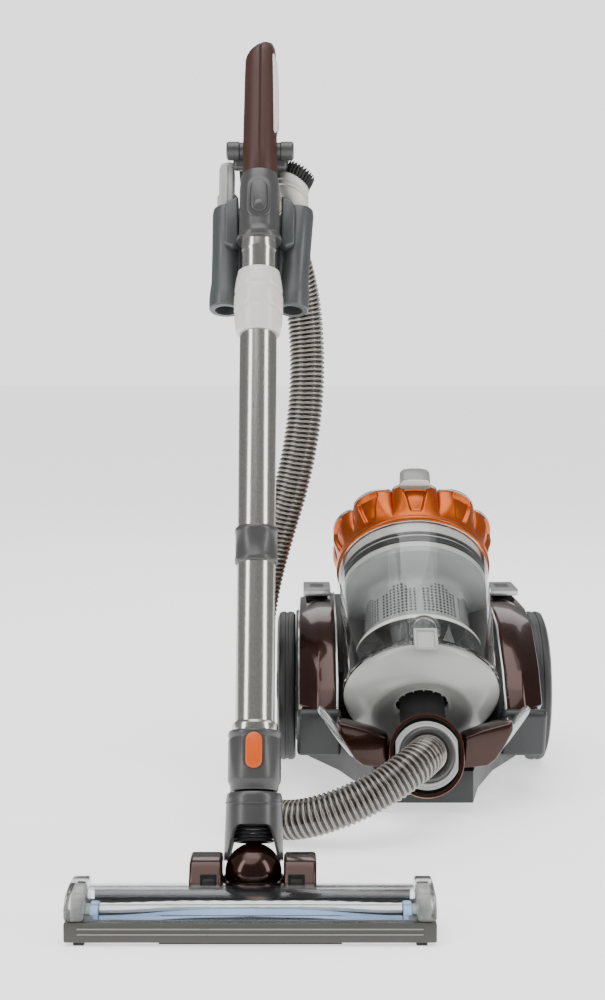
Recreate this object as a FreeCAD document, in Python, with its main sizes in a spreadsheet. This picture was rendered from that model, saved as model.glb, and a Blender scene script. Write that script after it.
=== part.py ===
"""Canister vacuum cleaner with a telescopic wand, a hard floor head and a lift-off dirt bin.

Millimetres, +Z up, floor at Z = 0, the canister and the floor head face -Y.
The origin is on the floor below the middle of the whole object.
"""
import FreeCAD, Part
import math
import os
import re
import Sketcher

V = FreeCAD.Vector

SIZES = {
    # places of the groups
    "canister_x": 80.5, "canister_y": -7.5,
    "bin_y": 52.5, "bin_z": 115.0, "bin_lean": -50.0,
    "inlet_y": -27.5, "inlet_z": 67.0, "inlet_lean": 70.0,
    "wand_x": -88.5, "wand_y": -288.5, "wand_z": 32.0, "wand_lean": -22.0,
    # casing
    "wall": 3.0, "pan_floor": 12.0, "pan_top": 45.7, "pod_inner": 89.0, "pod_width": 42.0,
    "cover_half": 88.5,
    # wheels
    "axle_y": 236.0, "axle_z": 87.0, "axle_r": 6.0, "tyre_r": 87.0, "tyre_bore": 62.0, "tyre_width": 20.0,
    "tyre_inside": 135.0, "caster_y": 75.0, "caster_trail": 17.0, "caster_r": 15.0, "caster_width": 15.0,
    # motor and cord reel
    "motor_y": 272.0, "motor_z": 80.0, "motor_r": 54.0, "motor_long": 102.0, "motor_left": -82.0, "shaft_r": 4.0,
    "reel_y": 285.0, "reel_z": 84.0, "reel_r": 62.0, "reel_left": 29.0, "reel_width": 50.0,
    # dirt bin, measured along its own axis from the rim of the door
    "cup_low": 83.0, "cup_high": 85.5, "cup_wall": 2.5, "cup_top": 175.0, "door_r": 82.0, "recess_r": 50.0,
    "opening_r": 28.5, "crown_r": 94.0, "crown_top": 228.0, "cradle_r": 88.0, "cradle_long": 145.0,
    "shroud_r": 57.0, "shroud_ring": 73.0, "duct_r": 24.0, "duct_bore": 21.0,
    # inlet
    "port_r": 36.0, "port_flats": 64.0, "cuff_r": 28.0, "bezel_r": 38.5, "bezel_shift": 4.5,
    # hose and wand
    "hose_r": 19.5, "tube_r": 17.5, "tube_bore": 16.35, "inner_r": 16.25, "inner_bore": 15.05,
    "coupling_r": 23.5, "spigot_bore": 15.0, "sleeve_r": 23.7, "collar_r": 19.75, "handle_r": 19.5,
    "grip_low": 16.8, "grip_high": 15.3, "grip_end": 820.0, "hub_r": 9.4, "hub_half": 33.5, "hub_height": 698.0,
    "holder_tube": 16.5, "holder_bore": 10.5, "holder_x": 33.0, "holder_y": 33.0, "tool_shank": 10.0,
    "brush_lean": 4.0,
    # floor head
    "head_half": 150.0, "head_front": -90.0, "head_back": -30.0, "base_top": 20.0, "roll_y": -62.0, "roll_z": 15.0,
    "roll_r": 13.8, "ball_r": 24.5, "pivot_r": 5.0, "head_wheel_r": 18.0, "head_wheel_y": 8.0,
}

doc = FreeCAD.newDocument("canister_vacuum")
sheet = doc.addObject("Spreadsheet::Sheet", "dims")
for row, (alias, value) in enumerate(SIZES.items(), start=1):
    sheet.set(f"A{row}", alias)
    sheet.set(f"B{row}", str(value))
    sheet.setAlias(f"B{row}", alias)
doc.recompute()

subparts = {}


# ---------------------------------------------------------------- helpers

def formula(text):
    """The same sum with its words pointed at the sheet's cells."""
    return re.sub(r"[a-z]\w+", lambda word: "dims." + word.group(), str(text))


def value_of(text):
    """The number that a sum of products of words and numbers stands for."""
    total = 0.0
    for sign, term in re.findall(r"([+-]?)([^+-]+)", str(text).replace(" ", "")):
        amount = 1.0
        for factor in term.split("*"):
            amount *= SIZES[factor] if factor in SIZES else float(factor)
        total += -amount if sign == "-" else amount
    return total


def put(piece, x=0, y=0, z=0, axis=V(1, 0, 0), turn=0):
    """Stand a shape at a place given by formulas, turned about an axis by degrees."""
    piece.Placement = FreeCAD.Placement(V(), FreeCAD.Rotation(axis, value_of(turn)))
    for name, place in (("x", x), ("y", y), ("z", z)):
        piece.setExpression(f"Placement.Base.{name}", formula(place))
    return piece


def along(piece, axis, x, y, z):
    """Stand a round shape with its own axis along X, Y or Z."""
    turns = {"X": (V(0, 1, 0), 90), "Y": (V(1, 0, 0), -90), "Z": (V(0, 0, 1), 0), "-X": (V(0, 1, 0), -90)}
    return put(piece, x, y, z, *turns[axis])


def cylinder(radius, height, x=0, y=0, z=0, axis="Z"):
    piece = doc.addObject("Part::Cylinder", "Round")
    piece.setExpression("Radius", formula(radius))
    piece.setExpression("Height", formula(height))
    return along(piece, axis, x, y, z)


def cone(low, high, height, x=0, y=0, z=0):
    piece = doc.addObject("Part::Cone", "Taper")
    piece.setExpression("Radius1", formula(low))
    piece.setExpression("Radius2", formula(high))
    piece.setExpression("Height", formula(height))
    return put(piece, x, y, z)


def sphere(radius, x=0, y=0, z=0):
    piece = doc.addObject("Part::Sphere", "Ball")
    piece.setExpression("Radius", formula(radius))
    return put(piece, x, y, z)


def block(x_low, x_high, y_low, y_high, z_low, z_high):
    """A box between two corners, each given as a formula."""
    piece = doc.addObject("Part::Box", "Block")
    for name, low, high in (("Length", x_low, x_high), ("Width", y_low, y_high), ("Height", z_low, z_high)):
        piece.setExpression(name, f"({formula(high)}) - ({formula(low)})")
    return put(piece, x_low, y_low, z_low)


def joined(*pieces):
    result = doc.addObject("Part::MultiFuse", "Joined")
    result.Shapes = list(pieces)
    return result


def cut(base, *tools):
    result = doc.addObject("Part::Cut", "Cut")
    result.Base = base
    result.Tool = tools[0] if len(tools) == 1 else joined(*tools)
    return result


def common(first, second):
    result = doc.addObject("Part::Common", "Common")
    result.Base = first
    result.Tool = second
    return result


def sketched(outline, role, start=0):
    """A body with one closed sketch, whose corners are bound to the sheet."""
    body = doc.addObject("PartDesign::Body", "Body")
    sketch = body.newObject("Sketcher::SketchObject", "Outline")
    plane = [feature for feature in body.Origin.OriginFeatures if feature.Role == role][0]
    sketch.AttachmentSupport = [(plane, "")]
    sketch.MapMode = "FlatFace"
    sketch.setExpression("AttachmentOffset.Base.z", formula(start))
    corners = [V(value_of(across), value_of(up), 0) for across, up in outline]
    for corner, following in zip(corners, corners[1:] + corners[:1]):
        sketch.addGeometry(Part.LineSegment(corner, following))
    for line in range(len(corners)):
        sketch.addConstraint(Sketcher.Constraint("Coincident", line, 2, (line + 1) % len(corners), 1))
    for line, (corner, sums) in enumerate(zip(corners, outline)):
        for kind, size, text in zip(("DistanceX", "DistanceY"), corner, sums):
            number = sketch.addConstraint(Sketcher.Constraint(kind, -1, 1, line, 1, size))
            sketch.setExpression(f"Constraints[{number}]", formula(text))
    return body, sketch


def turned(outline):
    """A body turned about its own Z axis from (radius, height) corners."""
    body, sketch = sketched(outline, "XZ_Plane")
    spin = body.newObject("PartDesign::Revolution", "Turn")
    spin.Profile = sketch
    spin.ReferenceAxis = (sketch, ["V_Axis"])
    spin.Angle = 360
    return body


def extruded(outline, role, start, length):
    """A body padded from an outline: (Y, Z) corners run along X, (X, Y) corners run along Z."""
    body, sketch = sketched(outline, role, start)
    pad = body.newObject("PartDesign::Pad", "Pad")
    pad.Profile = sketch
    pad.setExpression("Length", formula(length))
    return body, pad


def hollow(body, pad, wall, *open_sides):
    """Leaves a wall inside a pad and opens the faces that look along the given directions."""
    doc.recompute()
    faces = pad.Shape.Faces
    found = [f"Face{faces.index(max(faces, key=lambda face: face.normalAt(0, 0).dot(side))) + 1}"
             for side in open_sides]
    shell = body.newObject("PartDesign::Thickness", "Wall")
    shell.Base = (pad, found)
    shell.setExpression("Value", formula(wall))
    shell.Reversed = True
    return body


def part(name, piece, group):
    """Gives a finished shape its name and stands it in its group's place."""
    x, y, z, turn = GROUPS[group]
    placed = any("Placement" in path for path, _ in piece.ExpressionEngine)
    holder = together(piece) if placed else piece
    put(holder, x, y, z, V(1, 0, 0), turn)
    holder.Label = name
    subparts[name] = holder
    return holder


def together(*pieces):
    """Solids that share one node, each keeping its own place inside the group."""
    result = doc.addObject("Part::Compound", "Group")
    result.Links = list(pieces)
    return result


GROUPS = {
    "canister": ("canister_x", "canister_y", 0, 0),
    "bin": ("canister_x", "bin_y", "bin_z", "bin_lean"),
    "inlet": ("canister_x", "inlet_y", "inlet_z", "inlet_lean"),
    "wand": ("wand_x", "wand_y", "wand_z", "wand_lean"),
    "head": ("wand_x", "wand_y", 0, 0),
}


# ---------------------------------------------------------------- canister casing

def base_pan():
    outline = [(-50, 0), (50, 0), (62, 60), (86, 130), (118, 190), (128, 215), (128, 346), (108, 373),
               (-108, 373), (-128, 346), (-128, 215), (-118, 190), (-86, 130), (-62, 60)]
    body, pad = extruded(outline, "XY_Plane", "pan_floor", "pan_top - pan_floor")
    tray = hollow(body, pad, "wall", V(0, 0, 1))
    places = [(side * 105, y) for side in (-1, 1) for y in (215, 325)]
    bosses = [cylinder(6, 26, x, y, "pan_floor + wall") for x, y in places]
    heads = [cylinder(4.2, "wall + 0.2", x, y, "pan_floor - 0.1") for x, y in places]
    threads = [cylinder(2.05, 40, x, y, "pan_floor") for x, y in places]
    well = cylinder(43, 30, 0, "caster_y", "pan_floor")
    pocket = cylinder(40, 26.5, 0, "caster_y", "pan_floor - 0.1")
    stem_bore = cylinder(5.05, 40, 0, "caster_y", "pan_floor")
    duct_gap = sphere(25.5, 0, -1.5, 61.2)
    part("base_pan", cut(joined(tray, well, *bosses), pocket, stem_bore, duct_gap, *heads, *threads), "canister")
    screws = []
    for x, y in places:
        head = cylinder(4, 2.7, x, y, "pan_floor + 0.3")
        shank = cylinder(2, 22, x, y, "pan_floor + wall")
        screws.append(joined(head, shank))
    part("pan_screws", together(*screws), "canister")


def side_shells():
    outline = [(140, 46), (47, 98), (75, 135), (135, 176), (200, 190), (296, 190), (338, 165), (368, 115), (371, 46)]
    for name, side in (("left_shell", -1), ("right_shell", 1)):
        start = "pod_inner" if side > 0 else "-pod_inner - pod_width"
        body, pad = extruded(outline, "YZ_Plane", start, "pod_width")
        shell = hollow(body, pad, "wall", V(0, 0, -1))
        axle_hole = cylinder("axle_r", 20, side * 120, "axle_y", "axle_z", "X" if side > 0 else "-X")
        stem_hole = cylinder(7, 20, side * 110, 262, 180)
        part(name, cut(shell, axle_hole, stem_hole), "canister")


def rear_cover():
    outline = [(210, 46), (210, 108), (303, 186), (337, 180), (367, 145), (383, 95), (383, 46)]
    body, pad = extruded(outline, "YZ_Plane", "-cover_half", "2*cover_half")
    shell = hollow(body, pad, "wall", V(0, 0, -1))
    slots = [block(x, x + 5, 375, 390, 100, 128) for x in range(-60, 61, 12)]
    gland_hole = cylinder(7.1, 20, 60, 370, 66, "Y")
    spindle = cylinder("axle_r", 62, "cover_half - wall - 60", "reel_y", "reel_z", "X")
    part("rear_cover", joined(cut(shell, gland_hole, *slots), spindle), "canister")
    part("cord_outlet", along(turned([(4, 0), (7, 0), (7, 8), (11, 8), (11, 11), (4, 11)]), "Y", 60, 375, 66),
         "canister")


def side_trims():
    trims = []
    for side in (-1, 1):
        strip = doc.addObject("Part::Box", "Strip")
        strip.Length = 57
        strip.Width = 10
        strip.Height = 8
        turn = FreeCAD.Rotation(V(0, 1, 0), -131.5 if side < 0 else -48.5)
        strip.Placement = FreeCAD.Placement(V(side * 79, 24, 54) - turn.multVec(V(0, 0, 4)), turn)
        trims.append(strip)
    part("side_trims", together(*trims), "canister")


def pedals():
    springs = []
    for name, side in (("power_pedal", -1), ("reel_pedal", 1)):
        x = side * 110
        plate = block(x - 16, x + 16, 230, 294, 194.5, 202)
        stem = cylinder(6, 30, x, 262, 166)
        foot = cylinder(9, 4, x, 262, 162)
        pocket = cylinder(11.5, 6.2, x, 262, 194.4)
        shaft = cylinder(6, 8, x, 262, 193)
        part(name, joined(cut(plate, pocket), stem, foot, shaft), "canister")
        springs.append(cut(cylinder(10.5, 10.2, x, 262, 190.2), cylinder(8.5, 12, x, 262, 189)))
    part("pedal_springs", together(*springs), "canister")


def motor_and_reel():
    wall_far = "motor_long - wall"
    ring = [("shaft_r + 0.05", 0), ("motor_r", 0), ("motor_r", "motor_long"), ("shaft_r + 0.05", "motor_long"),
            ("shaft_r + 0.05", wall_far), ("motor_r - wall", wall_far), ("motor_r - wall", "wall"),
            ("shaft_r + 0.05", "wall")]
    part("motor_housing", along(turned(ring), "X", "motor_left", "motor_y", "motor_z"), "canister")
    rotor = [(0, -1.5), ("shaft_r", -1.5), ("shaft_r", 10), (46, 10), (46, 26), (8, 26), (8, 40), (24, 40),
             (24, 85), ("shaft_r", 85), ("shaft_r", 103), (0, 103)]
    part("motor_rotor", along(turned(rotor), "X", "motor_left", "motor_y", "motor_z"), "canister")
    drum = [("axle_r + 0.05", 0), ("reel_r", 0), ("reel_r", 3), (20, 3), (20, "reel_width - 3"),
            ("reel_r", "reel_width - 3"), ("reel_r", "reel_width"), ("axle_r + 0.05", "reel_width")]
    part("cord_reel", along(turned(drum), "X", "reel_left", "reel_y", "reel_z"), "canister")


def wheels():
    tread = [("tyre_bore", 0), ("tyre_r - 4", 0), ("tyre_r", 4), ("tyre_r", "tyre_width - 4"),
             ("tyre_r - 4", "tyre_width"), ("tyre_bore", "tyre_width")]
    hub = [("axle_r + 0.05", 0), (20, 0), (20, 4), ("tyre_bore", 4), ("tyre_bore", 20), (40, 24), (0, 25),
           (0, 20), ("axle_r + 0.05", 20)]
    pin = [(0, 0), (10, 0), (10, 6), ("axle_r", 6), ("axle_r", 30), (0, 30)]
    pins = []
    for name, sign, axis in (("left", "-", "-X"), ("right", "", "X")):
        part(f"{name}_tyre", along(turned(tread), axis, f"{sign}tyre_inside", "axle_y", "axle_z"), "canister")
        part(f"{name}_hub", along(turned(hub), axis, f"{sign}133", "axle_y", "axle_z"), "canister")
        pins.append(along(turned(pin), axis, f"{sign}122", "axle_y", "axle_z"))
    part("wheel_axles", together(*pins), "canister")


def caster():
    plate = cylinder(15, 3.5, 0, "caster_y", 34.5)
    stem = cylinder(5, 7, 0, "caster_y", 34.5)
    cheeks = [block(x, x + 3, "caster_y - 4", "caster_y + 24", 9, 36) for x in (-11.5, 8.5)]
    bridge = block(-11.5, 11.5, "caster_y - 4", "caster_y + 14", 34, 38)
    pin = cylinder(3, 23, -11.5, "caster_y + caster_trail", "caster_r", "X")
    part("caster_fork", joined(plate, stem, bridge, pin, *cheeks), "canister")
    tread = [(3.05, 0), (13, 0), ("caster_r", 3), ("caster_r", "caster_width - 3"), (13, "caster_width"),
             (3.05, "caster_width")]
    part("caster_wheel", along(turned(tread), "X", "-0.5*caster_width", "caster_y + caster_trail", "caster_r"),
         "canister")


# ---------------------------------------------------------------- inlet and dirt bin

def inlet():
    oval = joined(cylinder("bezel_r", 10, 0, "bezel_shift", -8), cylinder("bezel_r", 10, 0, "-bezel_shift", -8),
                  block("-bezel_r", "bezel_r", "-bezel_shift", "bezel_shift", -8, 2))
    seat = common(cylinder("port_r", 30, 0, 0, -15), block("-0.5*port_flats", "0.5*port_flats", -50, 50, -15, 15))
    part("front_bezel", cut(oval, seat), "inlet")
    ring = common(cylinder("port_r", 12.3, 0, 0, -6.3),
                  block("-0.5*port_flats", "0.5*port_flats", -50, 50, -6.3, 6))
    part("inlet_port", cut(ring, cylinder("cuff_r + 0.05", 30, 0, 0, -15)), "inlet")
    part("hose_cuff", turned([("hose_r + 0.5", -6), ("cuff_r", -6), ("cuff_r", 14), ("hose_r + 0.5", 14)]), "inlet")
    # the duct turns 60 degrees behind the port and runs up through the middle of the bin's door
    elbow = 17.0
    rise = FreeCAD.Rotation(V(1, 0, 0), SIZES["bin_lean"] - SIZES["inlet_lean"])
    reach = 74.0
    pieces = []
    for radius, extra in ((SIZES["duct_r"], 0.0), (SIZES["duct_bore"], 5.0)):
        mouth = Part.makeCylinder(radius, elbow - 6.5 + extra, V(0, 0, -elbow))
        corner = Part.makeSphere(radius, V(0, 0, -elbow))
        riser = Part.makeCylinder(radius, reach + extra, V(0, 0, -elbow), rise.multVec(V(0, 0, 1)))
        pieces.append(mouth.fuse([corner, riser]))
    duct = doc.addObject("Part::Feature", "Duct")
    beyond = Part.makeBox(80, 80, 60, V(-40, -40, -6.5))
    duct.Shape = pieces[0].cut([pieces[1], beyond])
    part("inlet_duct", duct, "inlet")


def cradle():
    outer = cylinder("cradle_r + 4", "cradle_long", 0, 0, 20)
    inner = cylinder("cradle_r", "cradle_long + 4", 0, 0, 18)
    part("bin_cradle", common(cut(outer, inner), block(-72, 72, 55, 100, 18, 170)), "bin")


def dirt_bin():
    part("bin_cup", turned([("cup_low - cup_wall", 0), ("cup_low", 0), ("cup_high", "cup_top"),
                            ("cup_high - cup_wall", "cup_top")]), "bin")
    part("bin_gasket", turned([(76, 166), (82.6, 166), (82.8, 174), (76, 174)]), "bin")
    part("shroud", turned([(66, 52), (69, 52), ("shroud_r", 66), ("shroud_r", 122), ("shroud_ring", 127),
                           ("shroud_ring", 165), ("shroud_ring - 3", 165), ("shroud_ring - 3", 129.5),
                           ("shroud_r - 3", 124.5), ("shroud_r - 3", 64)]), "bin")
    part("cyclone_cone", turned([(17, 16), (20, 16), (48, 60), (48, 118), (45, 118), (45, 61.5)]), "bin")


def crown():
    part("crown", turned([("cup_high - 2.5", 175.3), ("cup_high + 0.5", 175.3), ("crown_r", 206), ("crown_r", 222),
                          ("crown_r - 3", 225), ("crown_r - 3", 224), (0, 224), (0, 220), ("crown_r - 5", 220),
                          ("crown_r - 4.5", 207), ("cup_high - 2.5", 178)]), "bin")
    part("crown_trim", turned([("crown_r - 2.8", 225.3), ("crown_r", 222.4), ("crown_r", "crown_top"),
                               ("crown_r - 6", "crown_top"), ("crown_r - 6", 225.3)]), "bin")
    post = block(-17, 17, -104, -80, 228.2, 239)
    recess = block(-10.5, 10.5, -98.5, -83.5, 237.5, 240)
    part("bin_handle", cut(post, recess), "bin")
    part("bin_button", block(-10, 10, -98, -84, 239.6, 242.5), "bin")


def door():
    outline = [("opening_r", -17), ("recess_r", -17), ("recess_r", -27), ("recess_r + 3", -27), (70, -19.5),
               ("door_r", -8), ("door_r", -0.5), ("door_r - 3", -0.5), ("door_r - 3", -7), (68.5, -16.5),
               ("recess_r + 3", -23.5), ("recess_r + 3", -13.5), ("opening_r", -13.5)]
    part("bin_door", turned(outline), "bin")
    part("bin_latch", block(-12.5, 12.5, -91, -84.5, -12, 14), "bin")


# ---------------------------------------------------------------- wand

def lower_wand():
    coupling = turned([("spigot_bore", 68), ("coupling_r", 68), ("coupling_r", 120), ("tube_r + 0.05", 120),
                       ("tube_r + 0.05", 104), ("spigot_bore", 104)])
    recess = block(-8, 8, -30, -18.4, 84, 118)
    part("neck_coupling", cut(coupling, recess), "wand")
    part("head_button", block(-7.5, 7.5, -26, -20.6, 85, 117), "wand")
    part("outer_tube", turned([("tube_bore", 104.2), ("tube_r", 104.2), ("tube_r", 120.2), (20.5, 120.2),
                               (20.5, 128), ("tube_r", 131), ("tube_r", 505), ("tube_bore", 505)]), "wand")
    part("tube_collar", turned([("tube_r + 0.05", 272), ("collar_r", 272), ("collar_r", 306),
                                ("tube_r + 0.05", 306)]), "wand")
    part("lock_sleeve", turned([("tube_r + 0.3", 497), (21, 497), ("sleeve_r", 508), ("sleeve_r", 535),
                                (19.6, 563), ("tube_r + 0.3", 563)]), "wand")


def upper_wand():
    part("inner_tube", turned([("inner_bore", 160), ("inner_r", 160), ("inner_r", 600), ("inner_bore", 600)]),
         "wand")
    body = turned([("inner_r + 0.05", 594), (21.8, 594), (21.8, 599), ("handle_r", 601), ("handle_r", 665.8),
                   ("inner_bore", 665.8), ("inner_bore", 600.2), ("inner_r + 0.05", 600.2)])
    hubs = cylinder("hub_r", "2*hub_half", "-hub_half", 8, "hub_height", "X")
    spine = block(-12, 12, 11, 19, 655, 698)
    recess = block(-9.6, 9.6, -30, -16.4, 617, 651)
    hollow_core = cylinder("inner_bore", 65, 0, 0, 600.5)
    part("handle_body", cut(joined(body, hubs, spine), recess, hollow_core), "wand")
    part("handle_button", block(-9, 9, -21.8, -18.6, 618, 650), "wand")
    grip = cone("grip_low", "grip_high", "grip_end - 666 - 15", 0, 0, 666)
    dome = sphere("grip_high", 0, 0, "grip_end - 15.3")
    part("handle_grip", cut(joined(grip, dome), cylinder("hub_r + 0.2", 80, -40, 8, "hub_height", "X"),
                            block(-12.2, 12.2, 10.8, 20, 650, 698)), "wand")
    socket = cylinder("hose_r + 2.3", 38, 0, 19.5, 690, "Y")
    bore = cylinder("hose_r + 0.3", 30, 0, 33, 690, "Y")
    part("hose_connector", cut(socket, bore), "wand")


def shank_at(side, radius, length, low):
    """A round shape in one of the holder's two tubes, leaning out with the brush's tube."""
    piece = cylinder(radius, length)
    lean = SIZES["brush_lean"] if side > 0 else 0.0
    turn = FreeCAD.Rotation(V(0, 1, 0), lean)
    seat = V(side * SIZES["holder_x"], SIZES["holder_y"], 600)
    piece.setExpression("Placement.Base.x", None)
    for name in "yz":
        piece.setExpression(f"Placement.Base.{name}", None)
    piece.Placement = FreeCAD.Placement(seat + turn.multVec(V(0, 0, low - 600)), turn)
    return piece


def tools():
    tubes = [shank_at(side, "holder_tube", 75, 525) for side in (-1, 1)]
    bores = [shank_at(side, "holder_bore", 120, 515) for side in (-1, 1)]
    web = block(-40, 40, 22.2, 40, 572, 628)
    ring = cylinder(25, 20, 0, 0, 572)
    tube_hole = cylinder("inner_r + 0.05", 60, 0, 0, 560)
    part("tool_holder", cut(joined(web, ring, *tubes), tube_hole, *bores), "wand")
    blade = block("-holder_x - 7", "-holder_x + 7", "holder_y - 15", "holder_y + 15", 629, 694)
    slit = block("-holder_x - 4", "-holder_x + 4", "holder_y - 12", "holder_y + 12", 632, 700)
    shank = shank_at(-1, "tool_shank", 100, 530)
    part("crevice_tool", joined(cut(blade, slit), shank), "wand")
    head = cut(shank_at(1, 16.3, 42, 629.5), shank_at(1, 12, 30, 650))
    tufts = cut(shank_at(1, 15.5, 22, 670), shank_at(1, 12, 30, 668))
    part("dusting_brush", joined(head, tufts, shank_at(1, "tool_shank", 101, 530)), "wand")


def neck():
    sleeve = turned([(5, 40), (21, 40), (21, 28), (24.3, 28), (24.3, 67.6), ("spigot_bore - 0.05", 67.6),
                     ("spigot_bore - 0.05", 90), ("spigot_bore - 2.5", 90), ("spigot_bore - 2.5", 45), (5, 45)])
    stem = cylinder(10.5, 39, 0, 0, 4)
    disc = cylinder(12.5, 23, -11.5, 0, 0, "X")
    bore = cylinder("pivot_r + 0.05", 40, -20, 0, 0, "X")
    airway = cylinder(8, 60, 0, 0, 16)
    part("neck_fork", cut(joined(sleeve, stem, disc), bore, airway), "wand")
    part("neck_bellows", turned([(10.6, 26), (17, 26), (20, 30), (17, 34), (20, 37), (20, 39.8), (10.6, 39.8)]),
         "wand")


# ---------------------------------------------------------------- floor head

def floor_head():
    bar = block("-head_half + 4", "head_half - 4", "head_front + 4", "head_back", 2.5, "base_top")
    chamber = block(-128, 128, -82, -42, 2, 30)
    roll_bore = cylinder(4.05, 270, -135, "roll_y", "roll_z", "X")
    deck = block(-56, 56, "head_back - 1", 28, 2.5, 8)
    wells = [block(x - 9, x + 9, -13, 29.5, 0, 20) for x in (-40, 40)]
    part("head_base", cut(joined(bar, deck), chamber, roll_bore, *wells), "head")
    band = block("-head_half", "head_half", "head_front", "head_back", 3, 19)
    inside = block("-head_half + 3.9", "head_half - 3.9", "head_front + 3.9", 10, 2, 25)
    part("head_bumper", cut(band, inside), "head")
    window = [(-88, 20.2), (-86, 29), (-76, 36), (-56, 38), (-34, 36.5), (-31, 20.2), (-33.2, 20.2), (-36, 34.4),
              (-56, 35.8), (-75, 33.8), (-83.9, 27.7), (-85.7, 20.2)]
    body, _ = extruded(window, "YZ_Plane", "-head_half + 16", "2*head_half - 32")
    part("head_window", body, "head")
    cap = [(-90, 20.2), (-90, 31), (-78, 40), (-56, 41.5), (-32, 40), (-30, 20.2)]
    caps = [extruded(cap, "YZ_Plane", start, 15.6)[0] for start in ("-head_half", "head_half - 15.6")]
    part("head_caps", together(*caps), "head")
    arch = [(-29.5, 8.2), (-29.5, 30), (-15, 46), (5, 48), (24, 40), (30, 22), (30, 8.2)]
    housings = []
    for start, well in ((-54, -49), (26, 31)):
        arch_body, _ = extruded(arch, "YZ_Plane", start, 28)
        pocket = cylinder(20, 18, well, "head_wheel_y", "head_wheel_r", "X")
        below = block(well, well + 18, -12, 28, 0, "head_wheel_r")
        pin = cylinder(3, 20, well - 1, "head_wheel_y", "head_wheel_r", "X")
        housings.append(joined(cut(arch_body, pocket, below), pin))
    part("wheel_housings", together(*housings), "head")
    for name, start in (("left_head_wheel", -47), ("right_head_wheel", 33)):
        tread = [(3.05, 0), (16, 0), ("head_wheel_r", 2), ("head_wheel_r", 12), (16, 14), (3.05, 14)]
        part(name, along(turned(tread), "X", start, "head_wheel_y", "head_wheel_r"), "head")
    roll = [(0, -132), (4, -132), (4, -127), (11, -127), (11, -112), ("roll_r", -111), ("roll_r", 111), (11, 112),
            (11, 127), (4, 127), (4, 132), (0, 132)]
    part("brush_roll", along(turned(roll), "X", 0, "roll_y", "roll_z"), "head")
    slot = block(-12.5, 12.5, -14, 30, "wand_z - 30", "wand_z + 30")
    ball = cut(sphere("ball_r", 0, 0, "wand_z"), slot)
    pin = cylinder("pivot_r", 44, -22, 0, "wand_z", "X")
    part("neck_ball", joined(ball, pin), "head")


# ---------------------------------------------------------------- hose

HOSE_ROUTE = [(80.5, -25.6, 66.3), (80.5, -64.5, 80.4), (64, -98, 76), (30, -116, 56), (-12, -124, 38),
              (-56, -116, 24), (-90, -82, 20.5), (-104, -34, 20.5), (-101, 20, 20.5), (-99, 74, 20.5),
              (-100, 122, 46), (-101, 148, 100), (-99, 153, 160), (-91, 153, 216), (-76, 151, 272),
              (-58, 149, 330), (-46, 147, 390), (-41, 146, 446), (-42, 146, 500), (-48, 140, 548),
              (-60, 120, 590), (-76, 88, 622), (-88.5, 53.5, 638), (-88.5, 1.1, 659.2)]


def rounded_path(points):
    """Straight runs joined by tangent arcs, each 0.45 of its shorter run back from its corner."""
    points = [V(*point) for point in points]
    edges = []
    last = points[0]
    for before, corner, after in zip(points, points[1:], points[2:]):
        back = before - corner
        ahead = after - corner
        reach = 0.45 * min(back.Length, ahead.Length)
        turn = math.pi - back.getAngle(ahead)
        radius = reach / math.tan(turn / 2)
        print(f"hose radius {radius:.0f} mm, turn {math.degrees(turn):.0f} degrees, run {back.Length:.0f} mm")
        start = corner + back.normalize() * reach
        end = corner + ahead.normalize() * reach
        inward = (back + ahead).normalize()
        centre = corner + inward * math.hypot(radius, reach)
        middle = centre - inward * radius
        edges.append(Part.LineSegment(last, start).toShape())
        edges.append(Part.Arc(start, middle, end).toShape())
        last = end
    edges.append(Part.LineSegment(last, points[-1]).toShape())
    return Part.Wire(edges)


def hose():
    path = rounded_path(HOSE_ROUTE)
    first = V(*HOSE_ROUTE[1]) - V(*HOSE_ROUTE[0])
    ring = Part.Wire(Part.makeCircle(SIZES["hose_r"], V(*HOSE_ROUTE[0]), first))
    tube = path.makePipeShell([ring], True, False)
    area = math.pi * SIZES["hose_r"] ** 2
    print(f"hose length {path.Length:.0f} mm, volume against section times length "
          f"{tube.Volume / (area * path.Length):.4f}")
    piece = doc.addObject("Part::Feature", "Hose")
    piece.Shape = tube
    piece.Label = "hose"
    subparts["hose"] = piece


# ---------------------------------------------------------------- build and write

def check_and_write():
    doc.recompute()
    for item in doc.Objects:
        if "Invalid" in item.State or "Error" in item.State:
            raise RuntimeError(f"{item.Name} ({item.Label}) failed: {item.State}")
    os.makedirs("parts", exist_ok=True)
    for name, item in subparts.items():
        shape = item.Shape
        if shape.isNull() or not shape.isValid() or not shape.Solids:
            raise RuntimeError(f"{name} has no valid solid")
        shape.exportStep(f"parts/{name}.step")
    print(f"{len(subparts)} parts written")


for make in (base_pan, side_shells, rear_cover, side_trims, pedals, motor_and_reel, wheels, caster, inlet, cradle,
             dirt_bin, crown, door, lower_wand, upper_wand, tools, neck, floor_head, hose):
    make()
check_and_write()
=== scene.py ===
from math import atan2, cos, pi, radians, sin, sqrt, tau

import bpy
from mathutils import Matrix, Vector


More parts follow.
